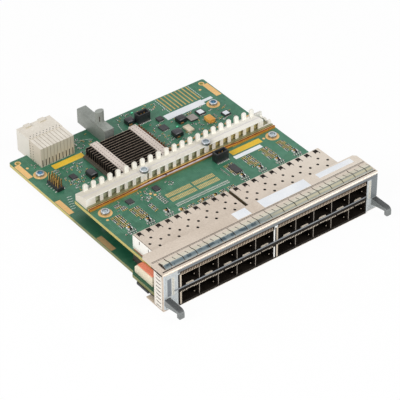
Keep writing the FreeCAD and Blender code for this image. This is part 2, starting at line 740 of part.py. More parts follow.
def main_board():
    """Larger board below, cut out at the front round the lower cages."""
    half = MAIN_BOARD_WIDTH / 2
    left = MAIN_BOARD_SHIFT - half
    right = MAIN_BOARD_SHIFT + half
    gap = CAGE_CUTOUT_GAP
    bay = CAGE_DEPTH + gap
    outline = [(left, MAIN_BOARD_BACK), (left, EAR_BACK), (left - EAR_REACH, EAR_BACK - EAR_REACH),
               (left - EAR_REACH, BOARD_FRONT), (CAGE_LEFT - gap, BOARD_FRONT),
               (CAGE_LEFT - gap, bay), (CAGE_RIGHT + gap, bay), (CAGE_RIGHT + gap, BOARD_FRONT),
               (right + EAR_REACH, BOARD_FRONT), (right + EAR_REACH, EAR_BACK - EAR_REACH),
               (right, EAR_BACK), (right, MAIN_BOARD_BACK)]
    board = upright(outline, MAIN_BOARD_BOTTOM, MAIN_BOARD_TOP)
    corners = [e for e in board.Edges if e.BoundBox.YMin > MAIN_BOARD_BACK - OVERCUT
               and e.BoundBox.ZLength > OVERCUT]
    board = board.makeFillet(MAIN_BOARD_CORNER, corners)
    low = MAIN_BOARD_BOTTOM - OVERCUT
    high = MAIN_BOARD_TOP + OVERCUT
    holes = screw_holes(upper_screw_places() + rear_screw_places() + ear_screw_places(), low, high)
    for x in (left + TOOLING_HOLE_X, right - TOOLING_HOLE_X):
        y = MAIN_BOARD_BACK - TOOLING_HOLE_Y
        holes.append(pillar(x, y, low, high, TOOLING_HOLE_RADIUS))
    return board.cut(holes)


def edge_rail(side):
    """Plastic rail between an ear of the main board and the bottom flange."""
    edge = MAIN_BOARD_SHIFT + side * (MAIN_BOARD_WIDTH / 2 + EAR_REACH)
    x0, x1 = sorted((edge, edge - side * RAIL_WIDTH))
    rail = block(x0, x1, RAIL_FRONT, RAIL_BACK, PLATE_SHEET, MAIN_BOARD_BOTTOM)
    bore = pillar(ear_screw_x(side), EAR_SCREW_Y, 0, MAIN_BOARD_TOP, SCREW_RADIUS + SCREW_GAP)
    return rail.cut(bore)


def ear_screws():
    """Screws through the ears and rails, flush with the flange below."""
    return group([low_screw(x, y, MAIN_BOARD_TOP, MAIN_BOARD_TOP, 1) for x, y in ear_screw_places()])


def upper_board_screws():
    """Screws through the upper board into the standoffs."""
    tip = UPPER_BOARD_BOTTOM - SCREW_HEAD_HEIGHT
    return group([socket_screw(x, y, UPPER_BOARD_TOP, tip) for x, y in upper_screw_places()])


def standoffs():
    """Hexagonal spacers between the two boards, bored from both ends."""
    posts = []
    bore = SCREW_RADIUS + SCREW_GAP
    for x, y in upper_screw_places():
        post = hexagon(x, y, STANDOFF_ACROSS, MAIN_BOARD_TOP, UPPER_BOARD_BOTTOM)
        posts.append(post.cut(pillar(x, y, MAIN_BOARD_TOP, UPPER_BOARD_BOTTOM, bore)))
    return group(posts)


def standoff_screws():
    """Thin-headed screws from under the main board into the standoffs."""
    length = MAIN_BOARD_THICKNESS + SCREW_HEAD_HEIGHT
    places = upper_screw_places()
    return group([low_screw(x, y, MAIN_BOARD_BOTTOM, length, -1) for x, y in places])


def rear_screws():
    """Screws at the back of the main board."""
    return group([socket_screw(x, y, MAIN_BOARD_TOP, SCREW_GAP) for x, y in rear_screw_places()])


def rear_nuts():
    """Round nuts under the main board, level with the faceplate's bottom."""
    nuts = []
    for x, y in rear_screw_places():
        nut = pillar(x, y, 0, MAIN_BOARD_BOTTOM, NUT_RADIUS)
        nuts.append(nut.cut(pillar(x, y, 0, MAIN_BOARD_BOTTOM, SCREW_RADIUS + SCREW_GAP)))
    return group(nuts)


def comb_edges():
    """Left and right ends of the comb bar."""
    half = UPPER_BOARD_WIDTH / 2 - COMB_INSET
    return PORT_SHIFT - half, PORT_SHIFT + half


def comb_screw_places():
    """Where the comb bar is screwed through the stiffener and the board."""
    y = COMB_FRONT + COMB_LIP / 2
    middle = PORT_SHIFT + COMB_SCREW_SHIFT
    return [(middle - COMB_SCREW_X, y), (middle + COMB_SCREW_X, y)]


def round_tooth(x):
    """One upright tooth with rounded corners, in the plane of the back wall."""
    half = COMB_TOOTH_WIDTH / 2
    top = COMB_VALLEY + COMB_TOOTH_HEIGHT
    slack = COMB_TOOTH_ROUND * (1 - math.sqrt(0.5))
    side = [(half, COMB_VALLEY), (half, top - COMB_TOOTH_ROUND), (half - slack, top - slack),
            (half - COMB_TOOTH_ROUND, top)]
    profile = [(x + reach, z) for reach, z in side]
    profile += [(x - reach, z) for reach, z in reversed(side)]
    return along_y(profile, UPPER_BOARD_BACK - COMB_WALL, UPPER_BOARD_BACK)


def comb_bar():
    """Moulded bar on the upper board's back edge: teeth behind, legs in front."""
    left, right = comb_edges()
    back = UPPER_BOARD_BACK
    inner_back = back - COMB_WALL
    inner_front = COMB_FRONT + COMB_FRONT_WALL
    crease = COMB_FRONT + COMB_LIP
    roof = [(COMB_FRONT, COMB_PLATE_BOTTOM), (crease, COMB_PLATE_BOTTOM),
            (inner_back, COMB_PLATE_BOTTOM - COMB_FALL), (inner_back, UPPER_BOARD_TOP),
            (back, UPPER_BOARD_TOP), (back, COMB_VALLEY), (inner_back, COMB_VALLEY),
            (crease, COMB_PLATE_TOP), (COMB_FRONT, COMB_PLATE_TOP)]
    cheek = [(COMB_FRONT, UPPER_BOARD_TOP), (inner_back, UPPER_BOARD_TOP),
             (inner_back, COMB_PLATE_BOTTOM - COMB_FALL), (crease, COMB_PLATE_BOTTOM),
             (COMB_FRONT, COMB_PLATE_BOTTOM)]
    pieces = [along_x(roof, left, right), along_x(cheek, left, left + COMB_WALL),
              along_x(cheek, right - COMB_WALL, right)]
    spans = [(left, left + COMB_LEFT_BLOCK), (right - COMB_RIGHT_BLOCK, right)]
    count = int((right - left - 2 * COMB_LEG_WIDTH) / COMB_PITCH)
    first = (left + right) / 2 - (count - 1) * COMB_PITCH / 2
    for i in range(count):
        x = first + i * COMB_PITCH
        pieces.append(round_tooth(x + COMB_TOOTH_SHIFT))
        leg_left = x - COMB_LEG_SHIFT - COMB_LEG_WIDTH / 2
        if left + COMB_LEFT_BLOCK < leg_left < right - COMB_RIGHT_BLOCK - COMB_LEG_WIDTH:
            spans.append((leg_left, leg_left + COMB_LEG_WIDTH))
    for x0, x1 in spans:
        pieces.append(block(x0, x1, COMB_FRONT, inner_front, STIFFENER_TOP, COMB_PLATE_BOTTOM))
    for x, y in comb_screw_places():
        pieces.append(pillar(x, y, STIFFENER_TOP, COMB_PLATE_BOTTOM, COMB_LIP / 2))
    holes = screw_holes(comb_screw_places(), UPPER_BOARD_TOP, COMB_PLATE_TOP + OVERCUT)
    return joined(pieces).cut(holes)


def stiffener():
    """Plated metal bar under the comb's front, grooved, notched round the comb's end walls."""
    left, right = comb_edges()
    front = COMB_FRONT - STIFFENER_REACH
    bar = block(left, right, front, front + STIFFENER_DEPTH, UPPER_BOARD_TOP, STIFFENER_TOP)
    groove_y = front + STIFFENER_REACH / 2
    groove = block(left - OVERCUT, right + OVERCUT, groove_y - STIFFENER_GROOVE / 2,
                   groove_y + STIFFENER_GROOVE / 2, STIFFENER_TOP - STIFFENER_GROOVE,
                   STIFFENER_TOP + OVERCUT)
    low = UPPER_BOARD_TOP - OVERCUT
    notch = COMB_WALL + STIFFENER_CLEARANCE
    notches = [block(x0, x1, COMB_FRONT - STIFFENER_CLEARANCE, UPPER_BOARD_BACK, low,
                     STIFFENER_TOP + OVERCUT)
               for x0, x1 in [(left - OVERCUT, left + notch), (right - notch, right + OVERCUT)]]
    holes = screw_holes(comb_screw_places(), low, STIFFENER_TOP + OVERCUT)
    return bar.cut([groove] + notches + holes)


def comb_screws():
    """Screws that hold the comb bar and the stiffener to the upper board."""
    tip = UPPER_BOARD_BOTTOM
    return group([socket_screw(x, y, COMB_PLATE_TOP, tip) for x, y in comb_screw_places()])


def mezzanine_places():
    """Middles of the two board-to-board connectors."""
    y = UPPER_BOARD_BACK - MEZZANINE_FROM_BACK - MEZZANINE_WIDTH / 2
    return [(PORT_SHIFT - MEZZANINE_X, y), (PORT_SHIFT + MEZZANINE_X, y)]


def mezzanine_split():
    """Height at which the board-to-board plugs and sockets meet."""
    return MAIN_BOARD_TOP + MEZZANINE_SOCKET_SHARE * (UPPER_BOARD_BOTTOM - MAIN_BOARD_TOP)


def mezzanine_sockets():
    """Lower halves on the main board, hollow along their tops."""
    sockets = []
    split = mezzanine_split()
    for x, y in mezzanine_places():
        body = centred_block(x, y, MEZZANINE_LENGTH, MEZZANINE_WIDTH, MAIN_BOARD_TOP, split)
        well = centred_block(x, y, MEZZANINE_LENGTH - 2 * MEZZANINE_WALL,
                             MEZZANINE_WIDTH - 2 * MEZZANINE_WALL, split - MEZZANINE_ENGAGE,
                             split + OVERCUT)
        sockets.append(body.cut(well))
    return group(sockets)


def mezzanine_plugs():
    """Upper halves under the upper board, with tongues into the sockets."""
    plugs = []
    split = mezzanine_split()
    shrink = 2 * (MEZZANINE_WALL + MEZZANINE_GAP)
    for x, y in mezzanine_places():
        body = centred_block(x, y, MEZZANINE_LENGTH, MEZZANINE_WIDTH, split, UPPER_BOARD_BOTTOM)
        tongue = centred_block(x, y, MEZZANINE_LENGTH - shrink, MEZZANINE_WIDTH - shrink,
                               split - MEZZANINE_ENGAGE + MEZZANINE_GAP, split)
        plugs.append(body.fuse(tongue))
    return group(plugs)


def side_body_edges():
    """Left and right faces of the side connector's body."""
    right = PORT_SHIFT - UPPER_BOARD_WIDTH / 2 - SIDE_BODY_GAP
    return right - SIDE_BODY_WIDTH, right


def side_connector():
    """Moulded block on the main board, beside the upper board's left edge."""
    left, right = side_body_edges()
    top = MAIN_BOARD_TOP + SIDE_BODY_HEIGHT
    profile = [(SIDE_BODY_FRONT, MAIN_BOARD_TOP), (SIDE_BODY_BACK, MAIN_BOARD_TOP),
               (SIDE_BODY_BACK, top - SIDE_BODY_CHAMFER), (SIDE_BODY_BACK - SIDE_BODY_CHAMFER, top),
               (SIDE_BODY_FRONT, top)]
    return along_x(profile, left, right)


def side_connector_cap():
    """Coloured cap on the side connector."""
    left, right = side_body_edges()
    bottom = MAIN_BOARD_TOP + SIDE_BODY_HEIGHT
    back = SIDE_BODY_BACK - SIDE_BODY_CHAMFER
    rise = bottom + SIDE_CAP_HEIGHT
    profile = [(SIDE_BODY_FRONT + SIDE_CAP_INSET, bottom), (back, bottom),
               (back, bottom + SIDE_CAP_HEIGHT / 2), (back - SIDE_BODY_CHAMFER, rise),
               (SIDE_BODY_FRONT + SIDE_CAP_INSET, rise)]
    return along_x(profile, left + SIDE_CAP_INSET, right)


def rear_connector_front():
    """Y of the backplane connector's front face."""
    return MAIN_BOARD_BACK - REAR_CONNECTOR_FRONT


def rear_housing():
    """Mating half of the backplane connector, overhanging the board's edge."""
    back = MAIN_BOARD_BACK + REAR_CONNECTOR_OVERHANG
    front = back - REAR_HOUSING_DEPTH
    edge = MAIN_BOARD_BACK + BOARD_EDGE_GAP
    top = MAIN_BOARD_TOP + REAR_CONNECTOR_HEIGHT
    low = MAIN_BOARD_TOP - BELOW_BOARD_TOP
    half = REAR_CONNECTOR_WIDTH / 2
    profile = [(front, MAIN_BOARD_TOP), (edge, MAIN_BOARD_TOP), (edge, low), (back, low),
               (back, top), (front, top)]
    body = along_x(profile, REAR_CONNECTOR_X - half, REAR_CONNECTOR_X + half)
    ribs = []
    for side in (-1, 1):
        ribs.append(centred_block(REAR_CONNECTOR_X + side * REAR_RIB_X, back - REAR_RIB_DEPTH / 2,
                                  REAR_RIB_WIDTH, REAR_RIB_DEPTH, top, top + REAR_RIB_HEIGHT))
    pitch = REAR_CONNECTOR_WIDTH / REAR_WAFERS
    slots = []
    for i in range(REAR_WAFERS):
        x = REAR_CONNECTOR_X - half + (i + 0.5) * pitch
        slots.append(block(x - REAR_SLOT_WIDTH / 2, x + REAR_SLOT_WIDTH / 2,
                           back - REAR_SLOT_DEPTH, back + OVERCUT, low + REAR_SLOT_EDGE,
                           top - REAR_SLOT_EDGE))
    return joined([body] + ribs).cut(slots)


def rear_wafers():
    """Row of contact wafers that plug into the back of the housing."""
    back = MAIN_BOARD_BACK + REAR_CONNECTOR_OVERHANG - REAR_HOUSING_DEPTH
    front = rear_connector_front()
    top = MAIN_BOARD_TOP + REAR_CONNECTOR_HEIGHT
    flush = top - REAR_WAFER_STEP
    profile = [(front, MAIN_BOARD_TOP), (back, MAIN_BOARD_TOP), (back, flush), (front, flush)]
    pitch = REAR_CONNECTOR_WIDTH / REAR_WAFERS
    start = REAR_CONNECTOR_X - REAR_CONNECTOR_WIDTH / 2
    wafers = []
    for i in range(REAR_WAFERS):
        x = start + i * pitch + REAR_WAFER_GAP / 2
        wafers.append(along_x(profile, x, x + pitch - REAR_WAFER_GAP))
    return group(wafers)


def guide_block():
    """Cast bar that lines the module up, with an oval post standing on it."""
    front = MAIN_BOARD_BACK - GUIDE_FRONT
    back = MAIN_BOARD_BACK + GUIDE_OVERHANG
    left = GUIDE_X - GUIDE_WIDTH / 2
    right = GUIDE_X + GUIDE_WIDTH / 2
    top = MAIN_BOARD_TOP + GUIDE_HEIGHT
    lead = GUIDE_LEAD_IN
    bar = upright([(left, front), (right, front), (right, back - lead), (right - lead, back),
                   (left + lead, back), (left, back - lead)], MAIN_BOARD_TOP, top)
    post_y = MAIN_BOARD_BACK - GUIDE_POST_Y
    turns = [2 * math.pi * i / GUIDE_POST_FLATS for i in range(GUIDE_POST_FLATS)]
    oval = [(GUIDE_X + GUIDE_POST_WIDTH / 2 * math.cos(turn),
             post_y + GUIDE_POST_DEPTH / 2 * math.sin(turn)) for turn in turns]
    post = upright(oval, top, top + GUIDE_POST_HEIGHT)
    bore_z = MAIN_BOARD_TOP + GUIDE_HEIGHT / 2
    bore = Part.makeCylinder(GUIDE_BORE_RADIUS, GUIDE_BORE_DEPTH + OVERCUT,
                             Vector(GUIDE_X, back - GUIDE_BORE_DEPTH, bore_z), Vector(0, 1, 0))
    return joined([bar, post]).cut(bore)


def sink_edges():
    """Left, right, front and back of the heat sink."""
    back = MAIN_BOARD_BACK - SINK_FROM_BACK
    return SINK_X - SINK_WIDTH / 2, SINK_X + SINK_WIDTH / 2, back - SINK_DEPTH, back


def sink_heights():
    """Underside, base top and fin tops of the heat sink."""
    bottom = MAIN_BOARD_TOP + PROCESSOR_HEIGHT + PAD_HEIGHT
    return bottom, bottom + SINK_BASE, bottom + SINK_HEIGHT


def clip_edges():
    """Left edges of the two clips that cross the heat sink."""
    left, right, front, back = sink_edges()
    return [left + CLIP_LEFT_INSET, right - CLIP_RIGHT_INSET - CLIP_WIDTH]


def heat_sink():
    """Finned plate with two channels across the fins for its clips."""
    left, right, front, back = sink_edges()
    bottom, base_top, top = sink_heights()
    lip = SINK_BASE_LIP
    pieces = [block(left - lip, right, front, back, bottom, base_top)]
    pitch = (SINK_DEPTH - SINK_FIN_THICKNESS) / (SINK_FINS - 1)
    for i in range(SINK_FINS):
        y = front + i * pitch
        pieces.append(block(left, right, y, y + SINK_FIN_THICKNESS, base_top, top))
    cuts = []
    for x in clip_edges():
        cuts.append(block(x - CLIP_SIDE_GAP, x + CLIP_WIDTH + CLIP_SIDE_GAP, front - OVERCUT,
                          back + OVERCUT, top - CLIP_THICKNESS, top + OVERCUT))
    return joined(pieces).cut(cuts)


def sink_clips():
    """Flat spring straps over the fins, bent down to the board at both ends."""
    left, right, front, back = sink_edges()
    bottom, base_top, top = sink_heights()
    sheet = CLIP_THICKNESS
    low = MAIN_BOARD_TOP
    profile = [(front - sheet - CLIP_FOOT, low), (front, low), (front, top - sheet),
               (back, top - sheet), (back, low), (back + sheet + CLIP_FOOT, low),
               (back + sheet + CLIP_FOOT, low + sheet), (back + sheet, low + sheet),
               (back + sheet, top), (front - sheet, top), (front - sheet, low + sheet),
               (front - sheet - CLIP_FOOT, low + sheet)]
    return group([along_x(profile, x, x + CLIP_WIDTH) for x in clip_edges()])


def sink_middle():
    """Middle of the processor under the heat sink."""
    left, right, front, back = sink_edges()
    return SINK_X, (front + back) / 2


def processor():
    """Square chip package under the heat sink."""
    x, y = sink_middle()
    top = MAIN_BOARD_TOP + PROCESSOR_HEIGHT
    return centred_block(x, y, PROCESSOR_SIDE, PROCESSOR_SIDE, MAIN_BOARD_TOP, top)


def thermal_pad():
    """Soft pad between the processor and the heat sink."""
    x, y = sink_middle()
    bottom = MAIN_BOARD_TOP + PROCESSOR_HEIGHT
    return centred_block(x, y, PAD_SIDE, PAD_SIDE, bottom, bottom + PAD_HEIGHT)


def header_pin_places():
    """Two rows of square pins."""
    y = MAIN_BOARD_BACK - HEADER_FROM_BACK
    places = []
    for row in (-0.5, 0.5):
        for i in range(HEADER_PINS):
            step = i - (HEADER_PINS - 1) / 2
            places.append((HEADER_X + row * HEADER_PITCH, y + step * HEADER_PITCH))
    return places


def header_base():
    """Moulded base of the pin header."""
    y = MAIN_BOARD_BACK - HEADER_FROM_BACK
    return centred_block(HEADER_X, y, 2 * HEADER_PITCH, HEADER_PINS * HEADER_PITCH,
                         MAIN_BOARD_TOP, MAIN_BOARD_TOP + HEADER_BASE)


def header_pins():
    """Square pins standing out of the header's base."""
    bottom = MAIN_BOARD_TOP + HEADER_BASE
    top = MAIN_BOARD_TOP + HEADER_PIN_HEIGHT
    return group([centred_block(px, py, HEADER_PIN, HEADER_PIN, bottom, top)
                  for px, py in header_pin_places()])


def box_pin_places(x, y):
    """Two rows of pins inside a box header."""
    count = int((BOX_WIDTH - 2 * BOX_WALL) / BOX_PIN_PITCH)
    places = []
    for row in (-0.5, 0.5):
        for i in range(count):
            step = i - (count - 1) / 2
            places.append((x + step * BOX_PIN_PITCH, y + row * BOX_PIN_PITCH))
    return places


def box_header(x, y, seat):
    """Open-topped moulded box round a pin field."""
    box = centred_block(x, y, BOX_WIDTH, BOX_DEPTH, seat, seat + BOX_HEIGHT)
    well = centred_block(x, y, BOX_WIDTH - 2 * BOX_WALL, BOX_DEPTH - 2 * BOX_WALL,
                         seat + BOX_FLOOR, seat + BOX_HEIGHT + OVERCUT)
    return box.cut(well)


def box_pins(x, y, seat):
    """Pins standing on the floor of a box header."""
    z0 = seat + BOX_FLOOR
    return group([centred_block(px, py, BOX_PIN, BOX_PIN, z0, seat + BOX_PIN_HEIGHT)
                  for px, py in box_pin_places(x, y)])


def soldered(parts, back, seat):
    """Plain chip packages at their places on a board."""
    return [centred_block(x, back - inset, width, depth, seat, seat + height)
            for x, inset, width, depth, height in parts]


def inductors():
    """Moulded power inductors with bevelled tops."""
    bodies = []
    for body in soldered(INDUCTORS, MAIN_BOARD_BACK, MAIN_BOARD_TOP):
        top = body.BoundBox.ZMax
        rim = [e for e in body.Edges if e.BoundBox.ZMin > top - INDUCTOR_CHAMFER / 2]
        bodies.append(body.makeChamfer(INDUCTOR_CHAMFER, rim))
    return group(bodies)


def tantalum():
    """Moulded capacitor with its two end tabs."""
    x, inset, width, depth, height = TANTALUM
    body = soldered([TANTALUM], MAIN_BOARD_BACK, MAIN_BOARD_TOP)[0]
    tabs = centred_block(x, MAIN_BOARD_BACK - inset, width / 2, depth + 2 * TANTALUM_TAB,
                         MAIN_BOARD_TOP, MAIN_BOARD_TOP + height / 2)
    return joined([body, tabs])


def upper_passives():
    """A small part behind every port."""
    y = CAGE_DEPTH + PASSIVE_FROM_CAGE
    parts = []
    for cage_left in CAGE_LEFTS:
        for x in port_centres(cage_left):
            parts.append(centred_block(x, y, PASSIVE_WIDTH, PASSIVE_LENGTH, UPPER_BOARD_TOP,
                                       UPPER_BOARD_TOP + PASSIVE_HEIGHT))
    return group(parts)


def main_passives():
    """A row of small parts along the main board, beside the heat sink."""
    parts = []
    y = MAIN_BOARD_BACK - MAIN_PASSIVE_FROM_BACK
    for i in range(MAIN_PASSIVE_COUNT):
        x = MAIN_PASSIVE_X + i * MAIN_PASSIVE_STEP
        parts.append(centred_block(x, y, PASSIVE_LENGTH, PASSIVE_WIDTH, MAIN_BOARD_TOP,
                                   MAIN_BOARD_TOP + PASSIVE_HEIGHT))
    return group(parts)


def save(name, shape):
    """Write one node, with the origin under the module's middle."""
    shape.translated(ORIGIN_SHIFT).exportStep("parts/" + name + ".step")


def save_cages():
    """Write the four cages, then what each row of cages holds."""
    for side, cage_left in zip(("left", "right"), CAGE_LEFTS):
        save("upper_" + side + "_cage_cover", on_upper_side(vented_cover(cage_left)))
        save("lower_" + side + "_cage_cover", on_lower_side(cage_cover(cage_left)))
        save("upper_" + side + "_cage_floor", on_upper_side(cage_floor(cage_left)))
        save("lower_" + side + "_cage_floor", on_lower_side(cage_floor(cage_left)))
    for piece, make in (("dividers", cage_dividers), ("host_connectors", host_connectors)):
        row = group([solid for cage_left in CAGE_LEFTS for solid in make(cage_left).Solids])
        save("upper_" + piece, on_upper_side(row))
        save("lower_" + piece, on_lower_side(row))
    save("upper_fingers", on_upper_side(group([upper_fingers(x) for x in CAGE_LEFTS])))
    save("lower_fingers", on_lower_side(group([lower_fingers(x) for x in CAGE_LEFTS])))


def save_front():
    """Write the faceplate and what is fixed to it."""
    save("faceplate", faceplate())
    save("front_film", front_film())
    save("port_label_bar", label_bar())
    save("top_gasket", top_gasket())
    save("left_gasket", left_gasket())
    save("right_gasket", mirrored(left_gasket()))
    save("left_handle", handle(-1))
    save("right_handle", handle(1))
    save("handle_screws", handle_screws())


def save_boards():
    """Write the boards and what holds them together."""
    save("upper_board", upper_board())
    save("main_board", main_board())
    save("left_edge_rail", edge_rail(-1))
    save("right_edge_rail", edge_rail(1))
    save("ear_screws", ear_screws())
    save("upper_board_screws", upper_board_screws())
    save("standoffs", standoffs())
    save("standoff_screws", standoff_screws())
    save("rear_screws", rear_screws())
    save("rear_nuts", rear_nuts())
    save("comb_bar", comb_bar())
    save("stiffener", stiffener())
    save("comb_screws", comb_screws())
    save("mezzanine_sockets", mezzanine_sockets())
    save("mezzanine_plugs", mezzanine_plugs())


def save_components():
    """Write what is mounted on the boards."""
    main_box = (MAIN_BOX_X, MAIN_BOARD_BACK - MAIN_BOX_FROM_BACK, MAIN_BOARD_TOP)
    upper_box = (UPPER_BOX_X, UPPER_BOARD_BACK - UPPER_BOX_FROM_BACK, UPPER_BOARD_TOP)
    save("side_connector", side_connector())
    save("side_connector_cap", side_connector_cap())
    save("rear_connector_housing", rear_housing())
    save("rear_connector_wafers", rear_wafers())
    save("guide_block", guide_block())
    save("processor", processor())
    save("thermal_pad", thermal_pad())
    save("heat_sink", heat_sink())
    save("heat_sink_clips", sink_clips())
    save("pin_header_base", header_base())
    save("pin_header_pins", header_pins())
    save("main_box_header", box_header(*main_box))
    save("upper_box_header", box_header(*upper_box))
    save("box_header_pins", group([box_pins(*main_box), box_pins(*upper_box)]))
    save("inductors", inductors())
    save("main_chips", group(soldered(MAIN_CHIPS, MAIN_BOARD_BACK, MAIN_BOARD_TOP)))
    save("upper_chips", group(soldered(UPPER_CHIPS, UPPER_BOARD_BACK, UPPER_BOARD_TOP)))
    save("oscillator", soldered([OSCILLATOR], MAIN_BOARD_BACK, MAIN_BOARD_TOP)[0])
    save("tantalum_capacitor", tantalum())
    save("upper_passives", upper_passives())
    save("main_passives", main_passives())


os.makedirs("parts", exist_ok=True)
save_front()
save_cages()
save_boards()
save_components()
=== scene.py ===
import math
import random
from contextlib import contextmanager

import bpy
from mathutils import Matrix, Vector


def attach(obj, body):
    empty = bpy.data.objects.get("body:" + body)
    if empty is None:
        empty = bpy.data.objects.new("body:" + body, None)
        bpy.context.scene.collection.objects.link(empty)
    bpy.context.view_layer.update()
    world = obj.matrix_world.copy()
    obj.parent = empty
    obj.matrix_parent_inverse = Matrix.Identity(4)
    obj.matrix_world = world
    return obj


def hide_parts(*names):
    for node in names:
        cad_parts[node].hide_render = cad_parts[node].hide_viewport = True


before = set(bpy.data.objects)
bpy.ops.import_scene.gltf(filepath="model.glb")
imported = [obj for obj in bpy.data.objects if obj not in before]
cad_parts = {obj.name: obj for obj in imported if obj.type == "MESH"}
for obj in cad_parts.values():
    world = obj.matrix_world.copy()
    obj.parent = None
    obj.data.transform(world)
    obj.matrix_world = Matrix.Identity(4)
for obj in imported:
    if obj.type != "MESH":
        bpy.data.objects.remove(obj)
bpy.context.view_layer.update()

# The two circuit boards: glass-fibre laminate under green solder mask, with fine copper runs
# showing through it and the yellowish laminate bare along the routed edges. The main board
# carries the backplane connector, and the upper one stands on posts over it.


def tone(colour):
    """A colour as it is seen, 0 to 255, as the light values that a shader takes."""
    return [((c / 255 + 0.055) / 1.055) ** 2.4 if c > 10 else c / 3294.6 for c in colour] + [1.0]


class Field:
    """A number that varies over a finish: a node's output, which can stand in sums."""

    def __init__(self, made, socket):
        self.made = made
        self.socket = socket

    def into(self, socket):
        self.made.node_tree.links.new(self.socket, socket)

    def reckon(self, operation, *values):
        node = self.made.node_tree.nodes.new("ShaderNodeMath")
        node.operation = operation
        for socket, value in zip(node.inputs, values):
            if isinstance(value, Field):
                value.into(socket)
            else:
                socket.default_value = value
        return Field(self.made, node.outputs[0])

    def spread(self, low, high, least, most):
        """The value brought from one range to another, and held inside it."""
        node = self.made.node_tree.nodes.new("ShaderNodeMapRange")
        self.into(node.inputs["Value"])
        for name, value in (("From Min", low), ("From Max", high), ("To Min", least), ("To Max", most)):
            node.inputs[name].default_value = value
        return Field(self.made, node.outputs["Result"])

    def __add__(self, other):
        return self.reckon("ADD", self, other)

    def __sub__(self, other):
        return self.reckon("SUBTRACT", self, other)

    def __rsub__(self, other):
        return self.reckon("SUBTRACT", other, self)

    def __mul__(self, other):
        return self.reckon("MULTIPLY", self, other)

    def __lt__(self, other):
        return self.reckon("LESS_THAN", self, other)

    def __gt__(self, other):
        return self.reckon("GREATER_THAN", self, other)

    def __abs__(self):
        return self.reckon("ABSOLUTE", self)


def fract(value):
    return value.reckon("FRACT", value)


def clamp(value, high=1.0):
    """A value held between 0 and a limit."""
    return value.reckon("MINIMUM", high, value.reckon("MAXIMUM", 0.0, value))


def axis_of(made, kind, axis):
    place = made.node_tree.nodes.new("ShaderNodeTexCoord")
    parts = made.node_tree.nodes.new("ShaderNodeSeparateXYZ")
    made.node_tree.links.new(place.outputs[kind], parts.inputs[0])
    return Field(made, parts.outputs["XYZ".index(axis)])


def where(made, axis):
    """One coordinate of the surface's place in the object's frame."""
    return axis_of(made, "Object", axis)


def facing(made, axis):
    """One coordinate of the way that the surface faces."""
    return axis_of(made, "Normal", axis)


def cloud(made, scale, detail=2.0):
    """A soft noise over the surface, about 0 to 1."""
    place = made.node_tree.nodes.new("ShaderNodeTexCoord")
    noise = made.node_tree.nodes.new("ShaderNodeTexNoise")
    noise.inputs["Scale"].default_value = scale
    noise.inputs["Detail"].default_value = detail
    made.node_tree.links.new(place.outputs["Object"], noise.inputs["Vector"])
    return Field(made, noise.outputs["Fac"])


def finish(name, light, dark, rough, metal=0.0, grain=700.0, smudge=60.0, dent=0.04):
    """A finish with a mottle of its own: two close tones, and the same grain in gloss and height."""
    made = bpy.data.materials.new(name)
    made.use_nodes = True
    nodes, links = made.node_tree.nodes, made.node_tree.links
    shader = nodes["Principled BSDF"]
    shader.inputs["Metallic"].default_value = metal
    fine = cloud(made, grain, 3.0)
    mottle = nodes.new("ShaderNodeMix")
    mottle.data_type = "RGBA"
    mottle.inputs[6].default_value = tone(dark)
    mottle.inputs[7].default_value = tone(light)
    (fine + cloud(made, smudge)).spread(0.75, 1.25, 0.0, 1.0).into(mottle.inputs[0])
    links.new(mottle.outputs[2], shader.inputs["Base Color"])
    fine.spread(0.0, 1.0, rough * 0.85, min(1.0, rough * 1.15)).into(shader.inputs["Roughness"])
    height = nodes.new("ShaderNodeBump")
    height.inputs["Strength"].default_value = dent
    height.inputs["Distance"].default_value = 0.0002
    fine.into(height.inputs["Height"])
    links.new(height.outputs["Normal"], shader.inputs["Normal"])
    return made


def layer(mask, colour):
    """Lays a colour over the mask's finish where the mask is 1."""
    nodes, links = mask.made.node_tree.nodes, mask.made.node_tree.links
    target = nodes["Principled BSDF"].inputs["Base Color"]
    mix = nodes.new("ShaderNodeMix")
    mix.data_type = "RGBA"
    links.new(target.links[0].from_socket, mix.inputs[6])
    mix.inputs[7].default_value = tone(colour)
    mask.into(mix.inputs[0])
    links.new(mix.outputs[2], target)


def dress(made, *names):
    """Gives CAD nodes a finish."""
    for name in names:
        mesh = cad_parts[name].data
        mesh.materials.clear()
        mesh.materials.append(made)


green_mask = finish("green_mask", (66, 122, 97), (40, 100, 73), 0.42, grain=260, smudge=22)
for axis, scale in (("X", 95.0), ("Y", 120.0)):
    run = fract(where(green_mask, axis) * 820.0) < 0.35
    patch = cloud(green_mask, scale) > 0.56
    layer(run * patch * 0.35, (98, 152, 122))
pour = cloud(green_mask, 48.0) > 0.6
layer(pour * 0.25, (40, 104, 72))
cut_edge = abs(facing(green_mask, "Z")) < 0.5
layer(cut_edge, (200, 186, 112))
plies = fract(where(green_mask, "Z") * 1250.0)
layer(cut_edge * (plies < 0.3), (172, 156, 80))
# Painted shade: the main board darkens under the upper board, towards the front.
shade = clamp((0.024 - where(green_mask, "Y")) * 100.0) * 0.65
below = where(green_mask, "Z") < 0.006
layer(shade * below, (18, 70, 46))
dress(green_mask, "main_board", "upper_board")

# Bare copper lands on the boards, gold-plated and a few hundredths proud: long pads along the
# card edges, rings round the screws and tooling holes, a striped field and a field of fine pads.

MAIN_TOP = 4.3
UPPER_TOP = 13.3
REAR_SCREWS = ((-69.0, 154.4), (67.4, 149.4))
UPPER_SCREWS = ((-65.1, 86.4), (67.9, 86.4))


def at(x, y, z):
    """Millimetres from the faceplate's middle, front and bottom, as a place in the frame."""
    return Vector((x, y - 86.9, z)) / 1000


def only(piece):
    """Selects one piece and nothing else."""
    bpy.ops.object.select_all(action="DESELECT")
    piece.select_set(True)
    bpy.context.view_layer.objects.active = piece


def named(piece, name):
    """Gives a piece and its mesh one name."""
    piece.name = name
    piece.data.name = name
    return piece


